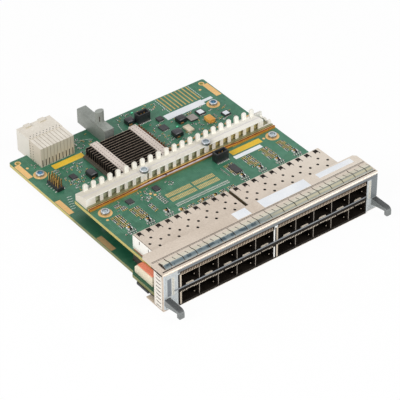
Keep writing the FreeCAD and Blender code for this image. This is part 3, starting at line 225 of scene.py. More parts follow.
def new_mesh(name, shape, **settings):
    """A simple mesh, its place and scale taken up by its points."""
    getattr(bpy.ops.mesh, f"primitive_{shape}_add")(**settings)
    bpy.ops.object.transform_apply(location=True, rotation=True, scale=True)
    return named(bpy.context.active_object, name)


@contextmanager
def editing(piece, kind="vertices", wanted=None):
    """Edit mode, with the vertices, edges or polygons selected that pass a test, or with all of them.
    Finer elements stay selected as they are: on a new mesh they all are, and after an edit none is."""
    only(piece)
    kinds = ("vertices", "edges", "polygons")
    bpy.context.tool_settings.mesh_select_mode = [each == kind for each in kinds]
    for each in kinds[kinds.index(kind):]:
        for item in getattr(piece.data, each):
            item.select = wanted is None or (each == kind and wanted(item))
    bpy.ops.object.mode_set(mode="EDIT")
    yield
    bpy.ops.mesh.select_all(action="DESELECT")
    bpy.ops.object.mode_set(mode="OBJECT")


def block(name, low, high, edge=0.0, steps=1):
    """A block between two corners in millimetres, its edges rounded over."""
    low, high = at(*low), at(*high)
    piece = new_mesh(name, "cube", size=1.0, location=(low + high) / 2, scale=high - low)
    if edge:
        with editing(piece):
            bpy.ops.mesh.bevel(offset=edge / 1000, segments=steps, affect="EDGES")
    return piece


def ring(name, x, y, z, outer, inner, thick, sides=40):
    """A flat ring, inset from a disc and given its thickness upwards."""
    piece = new_mesh(name, "circle", vertices=sides, radius=outer / 1000, fill_type="NGON",
                     location=at(x, y, z))
    if inner:
        with editing(piece):
            bpy.ops.mesh.inset(thickness=(outer - inner) / 1000)
            bpy.ops.mesh.delete(type="FACE")
    change(piece, "SOLIDIFY", thickness=thick / 1000, offset=1.0)
    return piece


def change(piece, kind, **settings):
    """Adds a modifier with its settings, and applies it."""
    only(piece)
    modifier = piece.modifiers.new(kind.title(), kind)
    for key, value in settings.items():
        setattr(modifier, key, value)
    bpy.ops.object.modifier_apply(modifier=modifier.name)


def one_piece(pieces, name):
    """Joins pieces into one."""
    only(pieces[0])
    for piece in pieces:
        piece.select_set(True)
    if len(pieces) > 1:
        bpy.ops.object.join()
    return named(pieces[0], name)


def lay(pattern, places, name):
    """Copies a piece made at the zero point to each place (x, y, z, turn), and joins the copies."""
    laid = []
    for place in places:
        x, y, z, turn = (*place, 0.0)[:4]
        copy = bpy.data.objects.new(name, pattern.data.copy())
        turned = Matrix.Rotation(math.radians(turn), 4, "Z") @ Matrix.Translation(-at(0, 0, 0))
        copy.data.transform(Matrix.Translation(at(x, y, z)) @ turned)
        bpy.context.scene.collection.objects.link(copy)
        laid.append(copy)
    bpy.data.objects.remove(pattern)
    return one_piece(laid, name)


def fit(piece, made=None, stands_for=(), angle=35.0):
    """Finishes a piece: its material, smooth rounds, its body and the nodes it stands for."""
    if made:
        piece.data.materials.clear()
        piece.data.materials.append(made)
    only(piece)
    bpy.ops.object.shade_smooth_by_angle(angle=math.radians(angle))
    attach(piece, "root")
    if stands_for:
        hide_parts(*stands_for)
    return piece


land_gold = finish("land_gold", (246, 204, 140), (232, 184, 116), 0.45, metal=0.35, grain=900)
lands = []
LEFT_EDGE = (-77.7, -73.8)
RIGHT_EDGE = (75.0, 79.3)
for x0, x1, y0, y1 in ((*LEFT_EDGE, 155.5, 171.8), (*LEFT_EDGE, 108.5, 124.9), (*RIGHT_EDGE, 155.5, 171.8),
                       (*RIGHT_EDGE, 108.5, 124.9), (*RIGHT_EDGE, 62.8, 78.7)):
    lands.append(block("edge_land", (x0, y0, MAIN_TOP), (x1, y1, MAIN_TOP + 0.06), 0.02))
for x in (-73.7, 75.7):
    lands.append(ring("tooling_land", x, 173.6, MAIN_TOP, 2.1, 1.35, 0.05))
for spots, z in ((REAR_SCREWS, MAIN_TOP), (UPPER_SCREWS, UPPER_TOP)):
    lands += [ring("screw_land", x, y, z, 4.6, 1.7, 0.06) for x, y in spots]
for x, y, z in ((-71.7, 165.4, MAIN_TOP), (70.5, 168.2, MAIN_TOP), (-68.0, 79.7, UPPER_TOP),
                (-31.2, 85.1, UPPER_TOP), (-29.6, 82.5, UPPER_TOP), (61.8, 87.8, UPPER_TOP)):
    lands.append(ring("test_land", x, y, z, 0.95, 0.0, 0.05, 16))
fit(one_piece(lands, "gold_lands"), land_gold)
# Painted shade: the left edge land under the upper board, in a duller, darker gold.
painted_shade_gold = finish("painted_shade_gold", (178, 148, 104), (152, 124, 82), 0.55, metal=0.2, grain=900)
x0, x1 = LEFT_EDGE
shaded_land = block("shaded_land", (x0, 62.8, MAIN_TOP), (x1, 78.7, MAIN_TOP + 0.06), 0.02)
fit(shaded_land, painted_shade_gold)
ground_brown = finish("ground_brown", (150, 98, 46), (112, 68, 30), 0.5, metal=0.2, grain=1200)
ground_strip = block("cage_ground_strip", (-72.3, 26.0, UPPER_TOP), (-71.5, 46.6, UPPER_TOP + 0.08), 0.02)
fit(ground_strip, ground_brown)

stripe_gold = finish("stripe_gold", (206, 178, 112), (176, 150, 88), 0.5, metal=0.3, grain=900)
stripe = block("stripe", (-0.5, 0, 0), (0.5, 17.2, 0.05), 0.02)
stripes = [(40.6 + 3.0 * i, 160.2, MAIN_TOP) for i in range(9)]
fit(lay(stripe, stripes, "stripe_field"), stripe_gold)
pad_gold = finish("pad_gold", (244, 212, 144), (222, 188, 118), 0.5, metal=0.2, grain=900)
fine_pad = block("fine_pad", (-0.24, 0, 0), (0.24, 1.75, 0.05), 0.015)
fine_places = [(x0 + 0.98 * i, y, UPPER_TOP) for x0, count in ((-24.6, 20), (-3.6, 17))
               for i in range(count) for y in (69.8, 71.8, 75.0, 77.0)]
fit(lay(fine_pad, fine_places, "fine_pad_field"), pad_gold)

# White marks screened onto the boards: short strokes beside the parts and dashed lines round the
# striped field. The ink is a thin epoxy film.

silk_ink = finish("silk_ink", (236, 240, 236), (208, 216, 208), 0.7, grain=1500)
dash = block("dash", (-0.2, -0.8, 0), (0.2, 0.8, 0.03), 0.01)
strokes = [(x, 160.0 + 2.0 * i, MAIN_TOP) for x in (38.6, 66.4) for i in range(9)]
strokes += [(-66.5 - 0.9 * i, 123.6 - 2.3 * i, MAIN_TOP, 90.0) for i in range(6)]
strokes += [(-68.2 - 0.9 * i, 123.9 - 2.3 * i, MAIN_TOP, 90.0) for i in range(6)]
strokes += [(-29.0 + 1.9 * i, 170.8 - 0.9 * i, MAIN_TOP, 62.0) for i in range(5)]
strokes += [(-58.0 + 9.0 * i, 128.6, MAIN_TOP, 90.0) for i in range(3)]
strokes += [(2.2 - 0.4 * i, 167.4 - 2.1 * i, MAIN_TOP) for i in range(4)]
fit(lay(dash, strokes, "silk_marks"), silk_ink)

# The processor with its thermal pad and the finned heat sink over it: black-anodised aluminium,
# the folded fins zigzagging along the card with their sheared tips bare, under two spring straps.

black_anodise = finish("black_anodise", (22, 16, 13), (12, 8, 6), 0.55, grain=1200)
sheared = abs(facing(black_anodise, "X")) > 0.75
layer(sheared * 0.6, (150, 132, 114))
tips = where(black_anodise, "Z") > 0.01185
layer(tips * 0.8, (204, 184, 164))
far = where(black_anodise, "X") > 0.0062
layer(far * 0.75, (128, 78, 40))


def between(value, low, high):
    """1 where a value lies between two limits, and 0 elsewhere."""
    return (value > low) * (value < high)


def fin_row(name, x0, x1):
    """One folded fin: a grid on edge whose every second column is pulled over, then thickened."""
    count = max(2, round(x1 - x0))
    low, high = at(x0, 114.4, 5.95), at(x1, 114.4, 11.95)
    bpy.ops.mesh.primitive_grid_add(x_subdivisions=count, y_subdivisions=1, size=1.0,
                                    location=(low + high) / 2, rotation=(math.pi / 2, 0, 0))
    piece = named(bpy.context.active_object, name)
    piece.scale = (high.x - low.x, high.z - low.z, 1.0)
    bpy.ops.object.transform_apply(location=True, rotation=True, scale=True)
    step = (high.x - low.x) / count
    with editing(piece, "vertices", lambda point: round((point.co.x - low.x) / step) % 2 == 1):
        bpy.ops.transform.translate(value=(0, 0.0002, 0))
    change(piece, "SOLIDIFY", thickness=0.00017, offset=0.0)
    return piece


fins = [lay(fin_row("fin_row", x0, x1), [(0, 2.47 * i, 0) for i in range(16)], "fins")
        for x0, x1 in ((-35.0, -30.5), (-24.3, 0.3), (6.5, 8.5))]
fins.append(block("fin_base", (-34.8, 113.2, 5.8), (8.4, 153.0, 6.3), 0.12, 2))
fit(one_piece(fins, "finned_sink"), black_anodise, ["heat_sink"])

# Painted shadow round the heat sink's base: flat olive-dark bars on the board.
sink_shadow_olive = finish("sink_shadow_olive", (92, 88, 75), (66, 63, 53), 0.85, grain=1500, dent=0.15)
frame_bars = [block("frame_bar", (x0, y0, MAIN_TOP), (x1, y1, 5.78), 0.15)
              for x0, x1, y0, y1 in ((-36.6, -34.4, 113.4, 152.8), (6.4, 9.4, 113.4, 152.8),
                                     (-34.4, 6.4, 113.4, 116.0), (-34.4, 6.4, 150.2, 152.8))]
fit(one_piece(frame_bars, "sink_shadow_frame"), sink_shadow_olive)

strap_white = finish("strap_white", (226, 214, 204), (206, 192, 182), 0.5, grain=1600, dent=0.1)
for middle in (-0.0289, -0.0259, 0.0019, 0.0049):
    line = between(where(strap_white, "X"), middle - 0.0003, middle + 0.0003)
    stitch = fract(where(strap_white, "Y") * 420.0) > 0.5
    layer(line * stitch * 0.85, (122, 108, 100))
dress(strap_white, "heat_sink_clips")
chip_black = finish("chip_black", (58, 58, 60), (38, 38, 41), 0.55, grain=1800, dent=0.08)
dress(chip_black, "processor", "main_chips", "upper_chips")
pad_grey = finish("pad_grey", (150, 150, 156), (124, 124, 132), 0.8, grain=1500)
dress(pad_grey, "thermal_pad")

# The backplane connector at the rear: a row of moulded wafers pressed into the board and a
# shrouded housing behind them, all in warm off-white glass-filled plastic, with painted shade on
# their left and front faces. Its vents and the wafers' slots are dark discs and strips of painted shade.

beige_moulding = finish("beige_moulding", (238, 231, 219), (221, 213, 200), 0.5, grain=900, smudge=120)
dress(beige_moulding, "rear_connector_housing", "rear_connector_wafers")
# Painted shade: faces turned to the left and to the front darker.
for axis, colour in (("X", (216, 212, 202)), ("Y", (192, 184, 164))):
    side = facing(beige_moulding, axis) < -0.7
    layer(side * 0.85, colour)
WAFER_PITCH = 2.6
seam = fract((where(beige_moulding, "X") + 0.0641) * (1000 / WAFER_PITCH))
seam = (seam < 0.12) * between(where(beige_moulding, "Y"), 0.0, 0.0866)
layer(seam * 0.6, (186, 172, 150))
# Painted shade: flat dark marks for the shade in slots, vents, holes and the relief on the end face.
shadow_brown = finish("shadow_brown", (70, 58, 46), (40, 32, 25), 0.8, grain=1500)
slot = block("wafer_slot", (-0.36, 160.16, 4.6), (0.36, 160.26, 9.8), 0.03)
slots = [(-62.8 + WAFER_PITCH * i, 0, 0) for i in range(10)]
fit(lay(slot, slots, "wafer_slots"), shadow_brown)
speck = block("speck", (-0.02, -0.35, -0.3), (0.02, 0.35, 0.3), 0.01)
END_FACE = -63.975
specks = [(END_FACE, y, z + 2.1 * i) for i in range(6) for y, z in ((172.7, 6.4), (169.4, 5.5))]
specks += [(END_FACE, 162.0 + 1.9 * i, 4.75) for i in range(6)]
fit(lay(speck, specks, "wafer_side_marks"), shadow_brown)
vent_dot = ring("vent_dot", 0, 0, 0, 0.36, 0.0, 0.03, 10)
dots = [(x + 2.55 * i, y, 19.1) for x, y, count in ((-62.6, 174.4, 10), (-61.3, 176.2, 9))
        for i in range(count)]
fit(lay(vent_dot, dots, "connector_vents"), shadow_brown)

# The guide block beside it: a grey zinc casting, a long bar with an oval post standing on it, its edges
# tumbled soft, with a narrow slot down the post's face drawn as a dark strip of painted shade.


def softened(node, name, width, steps=2, angle=30.0):
    """A copy of a CAD node with its doubles merged, its flats cleared and its edges rounded."""
    piece = bpy.data.objects.new(name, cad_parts[node].data.copy())
    bpy.context.scene.collection.objects.link(piece)
    only(piece)
    bpy.ops.mesh.customdata_custom_splitnormals_clear()
    with editing(piece):
        bpy.ops.mesh.remove_doubles(threshold=0.000002)
        bpy.ops.mesh.dissolve_limited(angle_limit=math.radians(1.0))
    change(piece, "BEVEL", width=width / 1000, segments=steps, limit_method="ANGLE",
           angle_limit=math.radians(angle), use_clamp_overlap=True)
    return named(piece, name)


def recast(node, name, width, made):
    """Puts a rounded copy in a CAD node's place."""
    fit(softened(node, name, width), made, [node])


zinc_grey = finish("zinc_grey", (163, 167, 161), (136, 140, 134), 0.5, metal=0.5, grain=1100, dent=0.12)
recast("guide_block", "guide_casting_block", 0.18, zinc_grey)
post_slot = block("guide_post_slot", (-14.9, 164.4, 17.0), (-14.3, 164.8, 21.0), 0.05)
fit(post_slot, shadow_brown)

# The pin header and the two shrouded box headers: black glass-filled nylon round gold-plated
# square pins, with tinned feet soldered out along both sides.

black_nylon = finish("black_nylon", (36, 38, 41), (21, 22, 24), 0.42, grain=1400, dent=0.08)
pin_gold = finish("pin_gold", (214, 164, 84), (176, 124, 54), 0.35, metal=0.5, grain=1500)
# Painted light and shade: the pins' left faces lighter and their front faces darker.
for axis, colour in (("X", (236, 190, 112)), ("Y", (116, 78, 36))):
    layer(facing(pin_gold, axis) < -0.7, colour)
tinned = finish("tinned", (226, 224, 218), (196, 192, 184), 0.35, metal=0.6, grain=1500)
for node, name, width in (("pin_header_base", "header_base_moulding", 0.2),
                          ("main_box_header", "main_box_header_shroud", 0.25),
                          ("upper_box_header", "upper_box_header_shroud", 0.25)):
    recast(node, name, width, black_nylon)
dress(pin_gold, "pin_header_pins", "box_header_pins")
foot = block("foot", (-0.35, -0.7, 0), (0.35, 0.7, 0.35), 0.1)
feet = [(x, 133.0 + 2.54 * i, MAIN_TOP, 90.0) for x in (-71.0, -65.0) for i in range(5)]
feet += [(14.4 + 1.2 * i, 160.0, MAIN_TOP) for i in range(8)]
feet += [(21.4 + 1.2 * i, 83.9, UPPER_TOP) for i in range(8)]
fit(lay(foot, feet, "header_feet"), tinned)

# Power inductors, the crystal oscillator and the tantalum capacitor on the main board: moulded
# bodies with rounded edges over folded metal feet.

ferrite_black = finish("ferrite_black", (52, 54, 58), (28, 29, 32), 0.26, grain=1200, dent=0.1)
# Painted shade: the upright sides darker than the tops.
shaded_upright = abs(facing(ferrite_black, "Z")) < 0.4
layer(shaded_upright * 0.8, (22, 23, 25))
recast("inductors", "inductor_bodies", 0.14, ferrite_black)
clip_foot = block("clip_foot", (-2.0, -0.3, 0), (0.2, 0.35, 1.1), 0.12)
clip_feet = []
for x, y, depth in ((10.0, 165.8, 5.4), (27.0, 135.4, 5.8), (38.3, 146.6, 5.6), (-43.2, 133.4, 7.0)):
    clip_feet += [(x, y - depth / 2 - 0.1, MAIN_TOP), (x, y + depth / 2 + 0.1, MAIN_TOP)]
fit(lay(clip_foot, clip_feet, "inductor_feet"), pin_gold)
cream_can = finish("cream_can", (228, 214, 190), (206, 190, 164), 0.4, metal=0.15, grain=1100)
recast("oscillator", "oscillator_can", 0.2, cream_can)
amber = finish("amber_moulding", (236, 176, 86), (208, 144, 58), 0.45, grain=1000)
recast("tantalum_capacitor", "tantalum_body", 0.2, amber)

# Leads of the small-outline chips, tinned, with the bare white marks on two of the chips and the
# grey shield lid over a third.

lead = block("lead", (-0.17, -0.45, 0), (0.17, 0.45, 0.3), 0.06)
leads = []
for x, y, width, depth, z in ((28.0, 156.5, 4.2, 4.2, MAIN_TOP), (-53.6, 139.3, 4.0, 5.0, MAIN_TOP),
                              (54.3, 146.4, 5.4, 5.6, MAIN_TOP), (67.1, 135.0, 5.0, 5.0, MAIN_TOP),
                              (24.3, 147.1, 5.2, 5.6, MAIN_TOP), (-46.7, 86.1, 4.4, 4.4, UPPER_TOP),
                              (-25.6, 87.0, 4.0, 4.8, UPPER_TOP)):
    steps = int(width / 0.8)
    leads += [(x + (i - (steps - 1) / 2) * 0.8, y + side * (depth / 2 + 0.3), z)
              for i in range(steps) for side in (-1, 1)]
leads += [(x, 68.4 + 0.8 * i, UPPER_TOP, 90.0) for i in range(11) for x in (23.8, 29.0)]
fit(lay(lead, leads, "chip_leads"), tinned)
paper_white = finish("paper_white", (244, 246, 248), (228, 232, 238), 0.6, grain=1800, dent=0.03)
lids = [block("lid_mark", (x - w, y - d, z), (x + w, y + d, z + 0.06), 0.02)
        for x, y, z, w, d in ((54.3, 146.4, 5.5, 2.0, 2.1), (67.1, 135.0, 5.5, 1.9, 1.9))]
fit(one_piece(lids, "lid_marks"), paper_white)
lid_grey = finish("lid_grey", (166, 160, 154), (138, 132, 126), 0.45, metal=0.4, grain=1400)
fit(block("shield_lid", (42.7, 141.0, 5.68), (48.9, 147.2, 5.8), 0.05), lid_grey)

# Small two-pad parts by the hundred: ceramic bodies between tinned end caps, in orderly groups
# behind each port and scattered round the heat sink.


def end_capped(name, length, width, height, body, ends, cap):
    """A chip part: a block grown out at both ends, the ends plated. On the first side all of the new
    block's edges are drawn out with the face, which doubles the sides of the body."""
    half = length / 2 - cap
    piece = block(name, (-half, -width / 2, 0), (half, width / 2, height))
    for side in (-1, 1):
        with editing(piece, "polygons", lambda face: face.normal.x * side > 0.9):
            bpy.ops.mesh.extrude_region_move(TRANSFORM_OT_translate={"value": (side * cap / 1000, 0, 0)})
    piece.data.materials.append(body)
    piece.data.materials.append(ends)
    for face in piece.data.polygons:
        face.material_index = 1 if abs(face.center.x) > half / 1000 + 0.0001 else 0
    return piece


film_green = finish("film_green", (118, 104, 70), (84, 72, 46), 0.5, grain=1600)
pale_gold = finish("pale_gold", (255, 226, 158), (240, 200, 124), 0.45, metal=0.1, grain=1600)
solder_white = finish("solder_white", (244, 242, 240), (222, 219, 217), 0.4, metal=0.2, grain=1500)
resistor_black = finish("resistor_black", (46, 44, 46), (26, 25, 27), 0.5, grain=1600)
ceramic_tan = finish("ceramic_tan", (214, 172, 118), (180, 138, 88), 0.5, grain=1600)
ceramic_gold = finish("ceramic_gold", (236, 190, 104), (208, 158, 76), 0.45, grain=1600)
ceramic_light = finish("ceramic_light", (218, 208, 192), (190, 180, 164), 0.5, grain=1600)
ceramic_grey = finish("ceramic_grey", (150, 138, 130), (116, 104, 98), 0.5, grain=1600)
dress(ceramic_tan, "upper_passives", "main_passives")
chance = random.Random(7)
groups = {"dark": [], "gold": [], "tan": [], "grey": [], "light": [], "large": [], "wide": []}
PORTS = [-64.15 + 14.25 * i for i in range(5)] + [9.95 + 14.25 * i for i in range(5)]
MIX = ("gold", "light", "dark")
for port, middle in enumerate(PORTS):
    if port in (3, 4, 5):
        for k in range(4):
            for i, column in enumerate((-5.0, -3.7, -2.4, 1.2, 2.5, 3.8, 5.1)):
                groups[MIX[(i + k) % 3]].append((middle + column, 55.8 + 1.5 * k, UPPER_TOP))
        continue
    for k in range(6 if port == 2 else 0):
        for column, y in ((-3.3, 68.9), (-1.8, 69.4)):
            groups[MIX[k % 3]].append((middle + column, y + 1.4 * k, UPPER_TOP))
        for column, y in ((6.0, 71.4), (7.8, 71.8)):
            groups["light"].append((middle + column, y + 1.7 * k, UPPER_TOP))
    for k in range(0 if port == 2 else 10):
        y = 67.8 + 1.28 * k + chance.uniform(-0.1, 0.1)
        for column, dark in ((-1.2, k % 5 < 3), (0.3, False), (1.4, False), (2.8, (k + 2) % 5 < 3),
                             (4.3, k % 2 == 0)):
            if (port < 9 or column < 4) and chance.random() < 0.93:
                groups["dark" if dark else "gold"].append((middle + column, y, UPPER_TOP))
    groups["large"].append((middle + 1.9, 65.3, UPPER_TOP))
    groups["wide"].append((middle + 1.9, 63.6, UPPER_TOP))
    groups["light"] += [(middle - 0.9 + 1.7 * k, 61.7, UPPER_TOP, 90.0) for k in range(4)]
    groups["dark"] += [(middle - 0.1 + 1.7 * k, 59.8, UPPER_TOP, 90.0) for k in range(3)]
groups["large"] += [(-25.8, 60.2, UPPER_TOP), (-9.1, 60.1, UPPER_TOP), (0.0, 59.1, UPPER_TOP)]
groups["light"] += [(-16.2, 85.6, UPPER_TOP), (-14.9, 84.6, UPPER_TOP), (-16.6, 89.0, UPPER_TOP)]
for x, y in ((-55.5, 86.8), (-53.5, 82.6)):
    for k in range(9):
        spot = (x - 1.4 + 1.4 * (k // 3), y - 1.3 + 1.3 * (k % 3), UPPER_TOP)
        groups[("gold", "light", "grey")[k % 3]].append(spot)
for x, y, kind in ((-53.2, 150.6, "grey"), (-53.5, 146.3, "grey"), (-45.0, 151.1, "grey"),
                   (-46.2, 141.8, "grey"), (-58.8, 147.0, "dark"), (-57.4, 133.0, "dark"),
                   (-52.1, 132.3, "dark"), (-45.9, 146.0, "dark"), (-28.7, 172.0, "dark"),
                   (-32.8, 168.1, "tan"), (-32.8, 162.3, "tan"), (-67.8, 166.4, "grey"),
                   (-67.5, 162.8, "grey"), (-66.0, 164.8, "grey"), (13.1, 174.3, "tan"),
                   (34.9, 171.0, "grey"), (32.7, 149.5, "tan"), (60.2, 138.6, "tan"),
                   (65.5, 142.0, "grey"), (72.2, 142.9, "tan"), (46.5, 137.4, "tan"),
                   (50.8, 138.5, "grey"), (52.9, 128.8, "tan"), (47.2, 133.8, "grey"),
                   (41.8, 130.6, "grey"), (17.2, 146.8, "grey"), (17.0, 141.9, "dark"),
                   (20.0, 140.3, "tan"), (16.0, 130.4, "tan"), (19.4, 155.4, "tan"),
                   (-52.5, 90.0, "grey"), (-53.0, 84.6, "grey"), (-57.8, 82.6, "grey"),
                   (-38.4, 89.5, "grey"), (-33.2, 89.0, "tan"), (-39.4, 83.3, "grey"),
                   (-14.7, 87.6, "grey"), (-13.2, 86.2, "dark"), (-67.5, 60.3, "tan"),
                   (-65.0, 60.0, "dark")):
    level = MAIN_TOP if y > 100 else UPPER_TOP
    groups[kind].append((x, y, level, chance.choice((0.0, 90.0))))
for x, y in ((-60.2, 152.0), (-60.4, 149.6), (-49.0, 148.4), (-42.0, 148.8), (-56.2, 136.0), (-48.4, 136.6),
             (22.6, 152.2), (31.2, 139.4), (35.4, 139.8), (57.6, 152.0), (60.8, 144.8), (43.8, 150.6),
             (48.6, 151.2), (21.0, 133.0), (34.0, 131.6), (57.0, 134.4), (62.4, 131.0), (-22.6, 165.4),
             (-26.0, 159.6), (4.4, 158.2), (30.6, 168.8), (36.6, 164.4), (-40.4, 124.8), (-52.4, 125.6)):
    groups["light"] += [(x, y, MAIN_TOP), (x + 1.7, y + 0.2, MAIN_TOP)]


def scatter(x0, x1, y0, y1, z, count, kinds, taken):
    """Strews parts over a stretch of board by chance, clear of the places that are taken."""
    for i in range(count):
        x, y = chance.uniform(x0, x1), chance.uniform(y0, y1)
        kind = chance.choice(kinds)
        if all(max(abs(x - far_x), abs(y - far_y)) > reach for far_x, far_y, reach in taken):
            groups[kind].append((x, y, z, chance.choice((0.0, 90.0))))
            taken.append((x, y, 1.3))


taken = [(10.0, 165.8, 4.0), (27.0, 135.4, 4.2), (38.3, 146.6, 4.2), (-43.2, 133.4, 5.0), (28.0, 156.5, 3.4),
         (-53.6, 139.3, 3.8), (54.3, 146.4, 4.2), (67.1, 135.0, 4.0), (24.3, 147.1, 4.0), (18.5, 163.0, 6.4),
         (45.9, 144.1, 3.8), (67.4, 149.4, 5.4), (32.5, 143.0, 1.6), (17.8, 174.2, 1.6), (31.0, 148.6, 4.4),
         (-13.4, 168.0, 5.6)]
for x0, x1, y0, y1, count in ((13.0, 37.0, 127.0, 152.0, 60), (40.0, 72.0, 126.0, 151.0, 60),
                              (-60.0, -39.5, 124.0, 152.0, 50), (-34.0, -20.0, 157.0, 175.0, 22),
                              (2.0, 36.0, 169.0, 176.0, 26)):
    scatter(x0, x1, y0, y1, MAIN_TOP, count, ("gold", "gold", "light", "grey", "dark"), taken)
for i in range(12):
    groups["tan" if i % 2 else "dark"].append((12.4 + chance.uniform(-0.4, 0.4), 130.0 + 2.0 * i, MAIN_TOP))
taken = [(-25.6, 87.0, 3.6), (-31.2, 85.1, 1.6), (-29.6, 82.5, 1.6), (-33.2, 89.0, 1.4), (-28.5, 77.0, 4.2)]
scatter(-37.5, -26.0, 78.6, 91.0, UPPER_TOP, 60, ("gold", "light", "grey", "dark"), taken)
for y in (70.0, 72.0, 74.0, 76.0, 78.0):
    groups["grey"].append((19.4, y, UPPER_TOP, 90.0))
sizes = {"dark": (1.5, 0.75, 0.45, resistor_black, solder_white, 0.4),
         "gold": (1.2, 0.6, 0.32, film_green, pale_gold, 0.36),
         "tan": (1.3, 0.7, 0.65, ceramic_tan, tinned, 0.35),
         "grey": (1.25, 0.65, 0.5, ceramic_grey, tinned, 0.35),
         "light": (1.3, 0.7, 0.5, ceramic_light, solder_white, 0.35),
         "large": (3.3, 1.25, 1.1, ceramic_gold, solder_white, 0.55),
         "wide": (3.4, 1.4, 1.0, resistor_black, solder_white, 0.8)}
for kind, places in groups.items():
    fit(lay(end_capped(kind, *sizes[kind]), places, kind + "_chip_parts"))

# The footprint of a fine-pitch connector across the upper board: short tinned legs in two close
# rows, rounded at their edges.

leg = block("leg", (-0.2, -0.55, 0), (0.2, 0.55, 0.35), 0.08)
legs = [(-25.2 + 0.9 * i, y, UPPER_TOP) for i in range(46) for y in (64.4, 66.2)]
fit(lay(leg, legs, "fine_pitch_legs"), tinned)

# Two green status lamps on the main board, one near its rear edge and one among the chips: small
# blocks of tinted resin with rounded edges.

lamp_green = finish("lamp_green", (120, 240, 190), (70, 210, 150), 0.3, grain=1500)
lamps = [block("lamp", (x - 0.8, y - 0.5, MAIN_TOP), (x + 0.8, y + 0.5, MAIN_TOP + 0.7), 0.2, 2)
         for x, y in ((17.8, 174.2), (32.5, 143.0))]
fit(one_piece(lamps, "status_lamps"), lamp_green)

# What joins the two boards and carries them: stacked mezzanine connectors and edge rails in black
# nylon, a shoe at each rail, and hexagonal steel posts with their screws.

dress(black_nylon, "mezzanine_plugs", "mezzanine_sockets", "upper_host_connectors", "lower_host_connectors",
      "left_edge_rail", "right_edge_rail")
shoes = [block("rail_shoe", (x, 20.0, 0.02), (x + 4.5, 31.8, 1.86), 0.15) for x in (-80.85, 78.35)]
fit(one_piece(shoes, "rail_shoes"), black_nylon)
steel = finish("plated_steel", (216, 219, 222), (180, 184, 190), 0.28, metal=0.85, grain=1300)
# Painted shade: upright faces darker than the tops.
shaded_upright = abs(facing(steel, "Z")) < 0.45
layer(shaded_upright * 0.7, (118, 122, 124))
dress(steel, "standoffs", "standoff_screws", "ear_screws", "handle_screws", "rear_nuts")

# Socket-head screws through the boards and the comb bar: turned and plated steel, rounded at the
# edges, with a driver recess coloured with a painted glint, blue at the rear and pale elsewhere.

pale_glint_recess = finish("pale_glint_recess", (206, 218, 222), (170, 184, 190), 0.4, metal=0.3, grain=1500)
blue_glint_recess = finish("blue_glint_recess", (104, 168, 200), (62, 124, 162), 0.4, metal=0.3, grain=1500)


def cap_screw(name, recess):
    """A screw head: a cylinder with all its edges rounded and a sunk driver recess."""
    piece = new_mesh(name, "cylinder", vertices=28, radius=0.0029, depth=0.002, location=at(0, 0, 1.0))
    with editing(piece, "polygons", lambda face: face.normal.z > 0.9):
        bpy.ops.mesh.bevel(offset=0.0003, segments=3, affect="EDGES")
    top = max(piece.data.polygons, key=lambda face: (round(face.center.z, 6), face.area))
    with editing(piece, "polygons", lambda face: face == top):
        bpy.ops.mesh.inset(thickness=0.0007)
        bpy.ops.mesh.extrude_region_move(TRANSFORM_OT_translate={"value": (0, 0, -0.0011)})
    piece.data.materials.append(steel)
    piece.data.materials.append(recess)
    middle = at(0, 0, 0)
    for face in piece.data.polygons:
        reach = math.hypot(face.center.x - middle.x, face.center.y - middle.y)
        face.material_index = 1 if reach < 0.0014 and face.center.z < 0.0018 else 0
    return piece


COMB_TOP = 20.6
COMB_SCREWS = ((-26.3, 98.45), (22.7, 98.45))
for name, node, recess, spots, z in (
        ("rear_screw_heads", "rear_screws", blue_glint_recess, REAR_SCREWS, MAIN_TOP),
        ("upper_screw_heads", "upper_board_screws", pale_glint_recess, UPPER_SCREWS, UPPER_TOP),
        ("comb_screw_heads", "comb_screws", pale_glint_recess, COMB_SCREWS, COMB_TOP)):
    heads = lay(cap_screw("cap", recess), [(x, y, z) for x, y in spots], name)
    fit(heads, stands_for=[node])

# The stiffener along the upper board's rear edge: a gold-plated channel, orange along the front, its
# open groove dull red in the shade with a pale band behind it, and painted olive shade on its rear
# land under the comb. Painted reflections lie on its middle: a lilac glare on the top and the green
# board mirrored in the front face. The bands run forward towards both ends. A hole in it is a dark
# disc of painted shade.

stiff_gold = finish("stiff_gold", (236, 164, 66), (206, 128, 40), 0.35, metal=0.4, grain=900)
outward = clamp((abs(where(stiff_gold, "X")) - 0.025) * 0.065, 0.0013)
shifted = where(stiff_gold, "Y") + outward
layer(between(shifted, 0.0071, 0.0081), (118, 46, 20))
layer(between(shifted, 0.0081, 0.0090), (232, 190, 112))
layer(shifted > 0.0090, (150, 146, 112))
glare = between(where(stiff_gold, "X"), -0.046, 0.024) * (facing(stiff_gold, "Z") > 0.5)
layer(glare * (shifted < 0.0069), (208, 200, 212))
board_reflection = (facing(stiff_gold, "Y") < -0.5) * between(where(stiff_gold, "X"), -0.036, 0.040)
board_reflection = board_reflection * (where(stiff_gold, "Z") < 0.0143)
layer(board_reflection * 0.75, (96, 122, 88))
dress(stiff_gold, "stiffener")
fit(ring("stiffener_hole", -12.9, 93.4, 15.0, 0.7, 0.0, 0.02, 14), shadow_brown)

# The comb bar over the stiffener: injection-moulded off-white plastic, square teeth with rounded
# corners along its back, legs along its front, a solid left end and an open right one, two screws.
# Painted light lies on it: darker towards the left end and lighter towards the right, a lilac-grey
# line along the crease, and lighter faces to the front. Behind the legs a grey-green sheet of painted
# shade stands, golden to the right with a painted reflection of the stiffener.

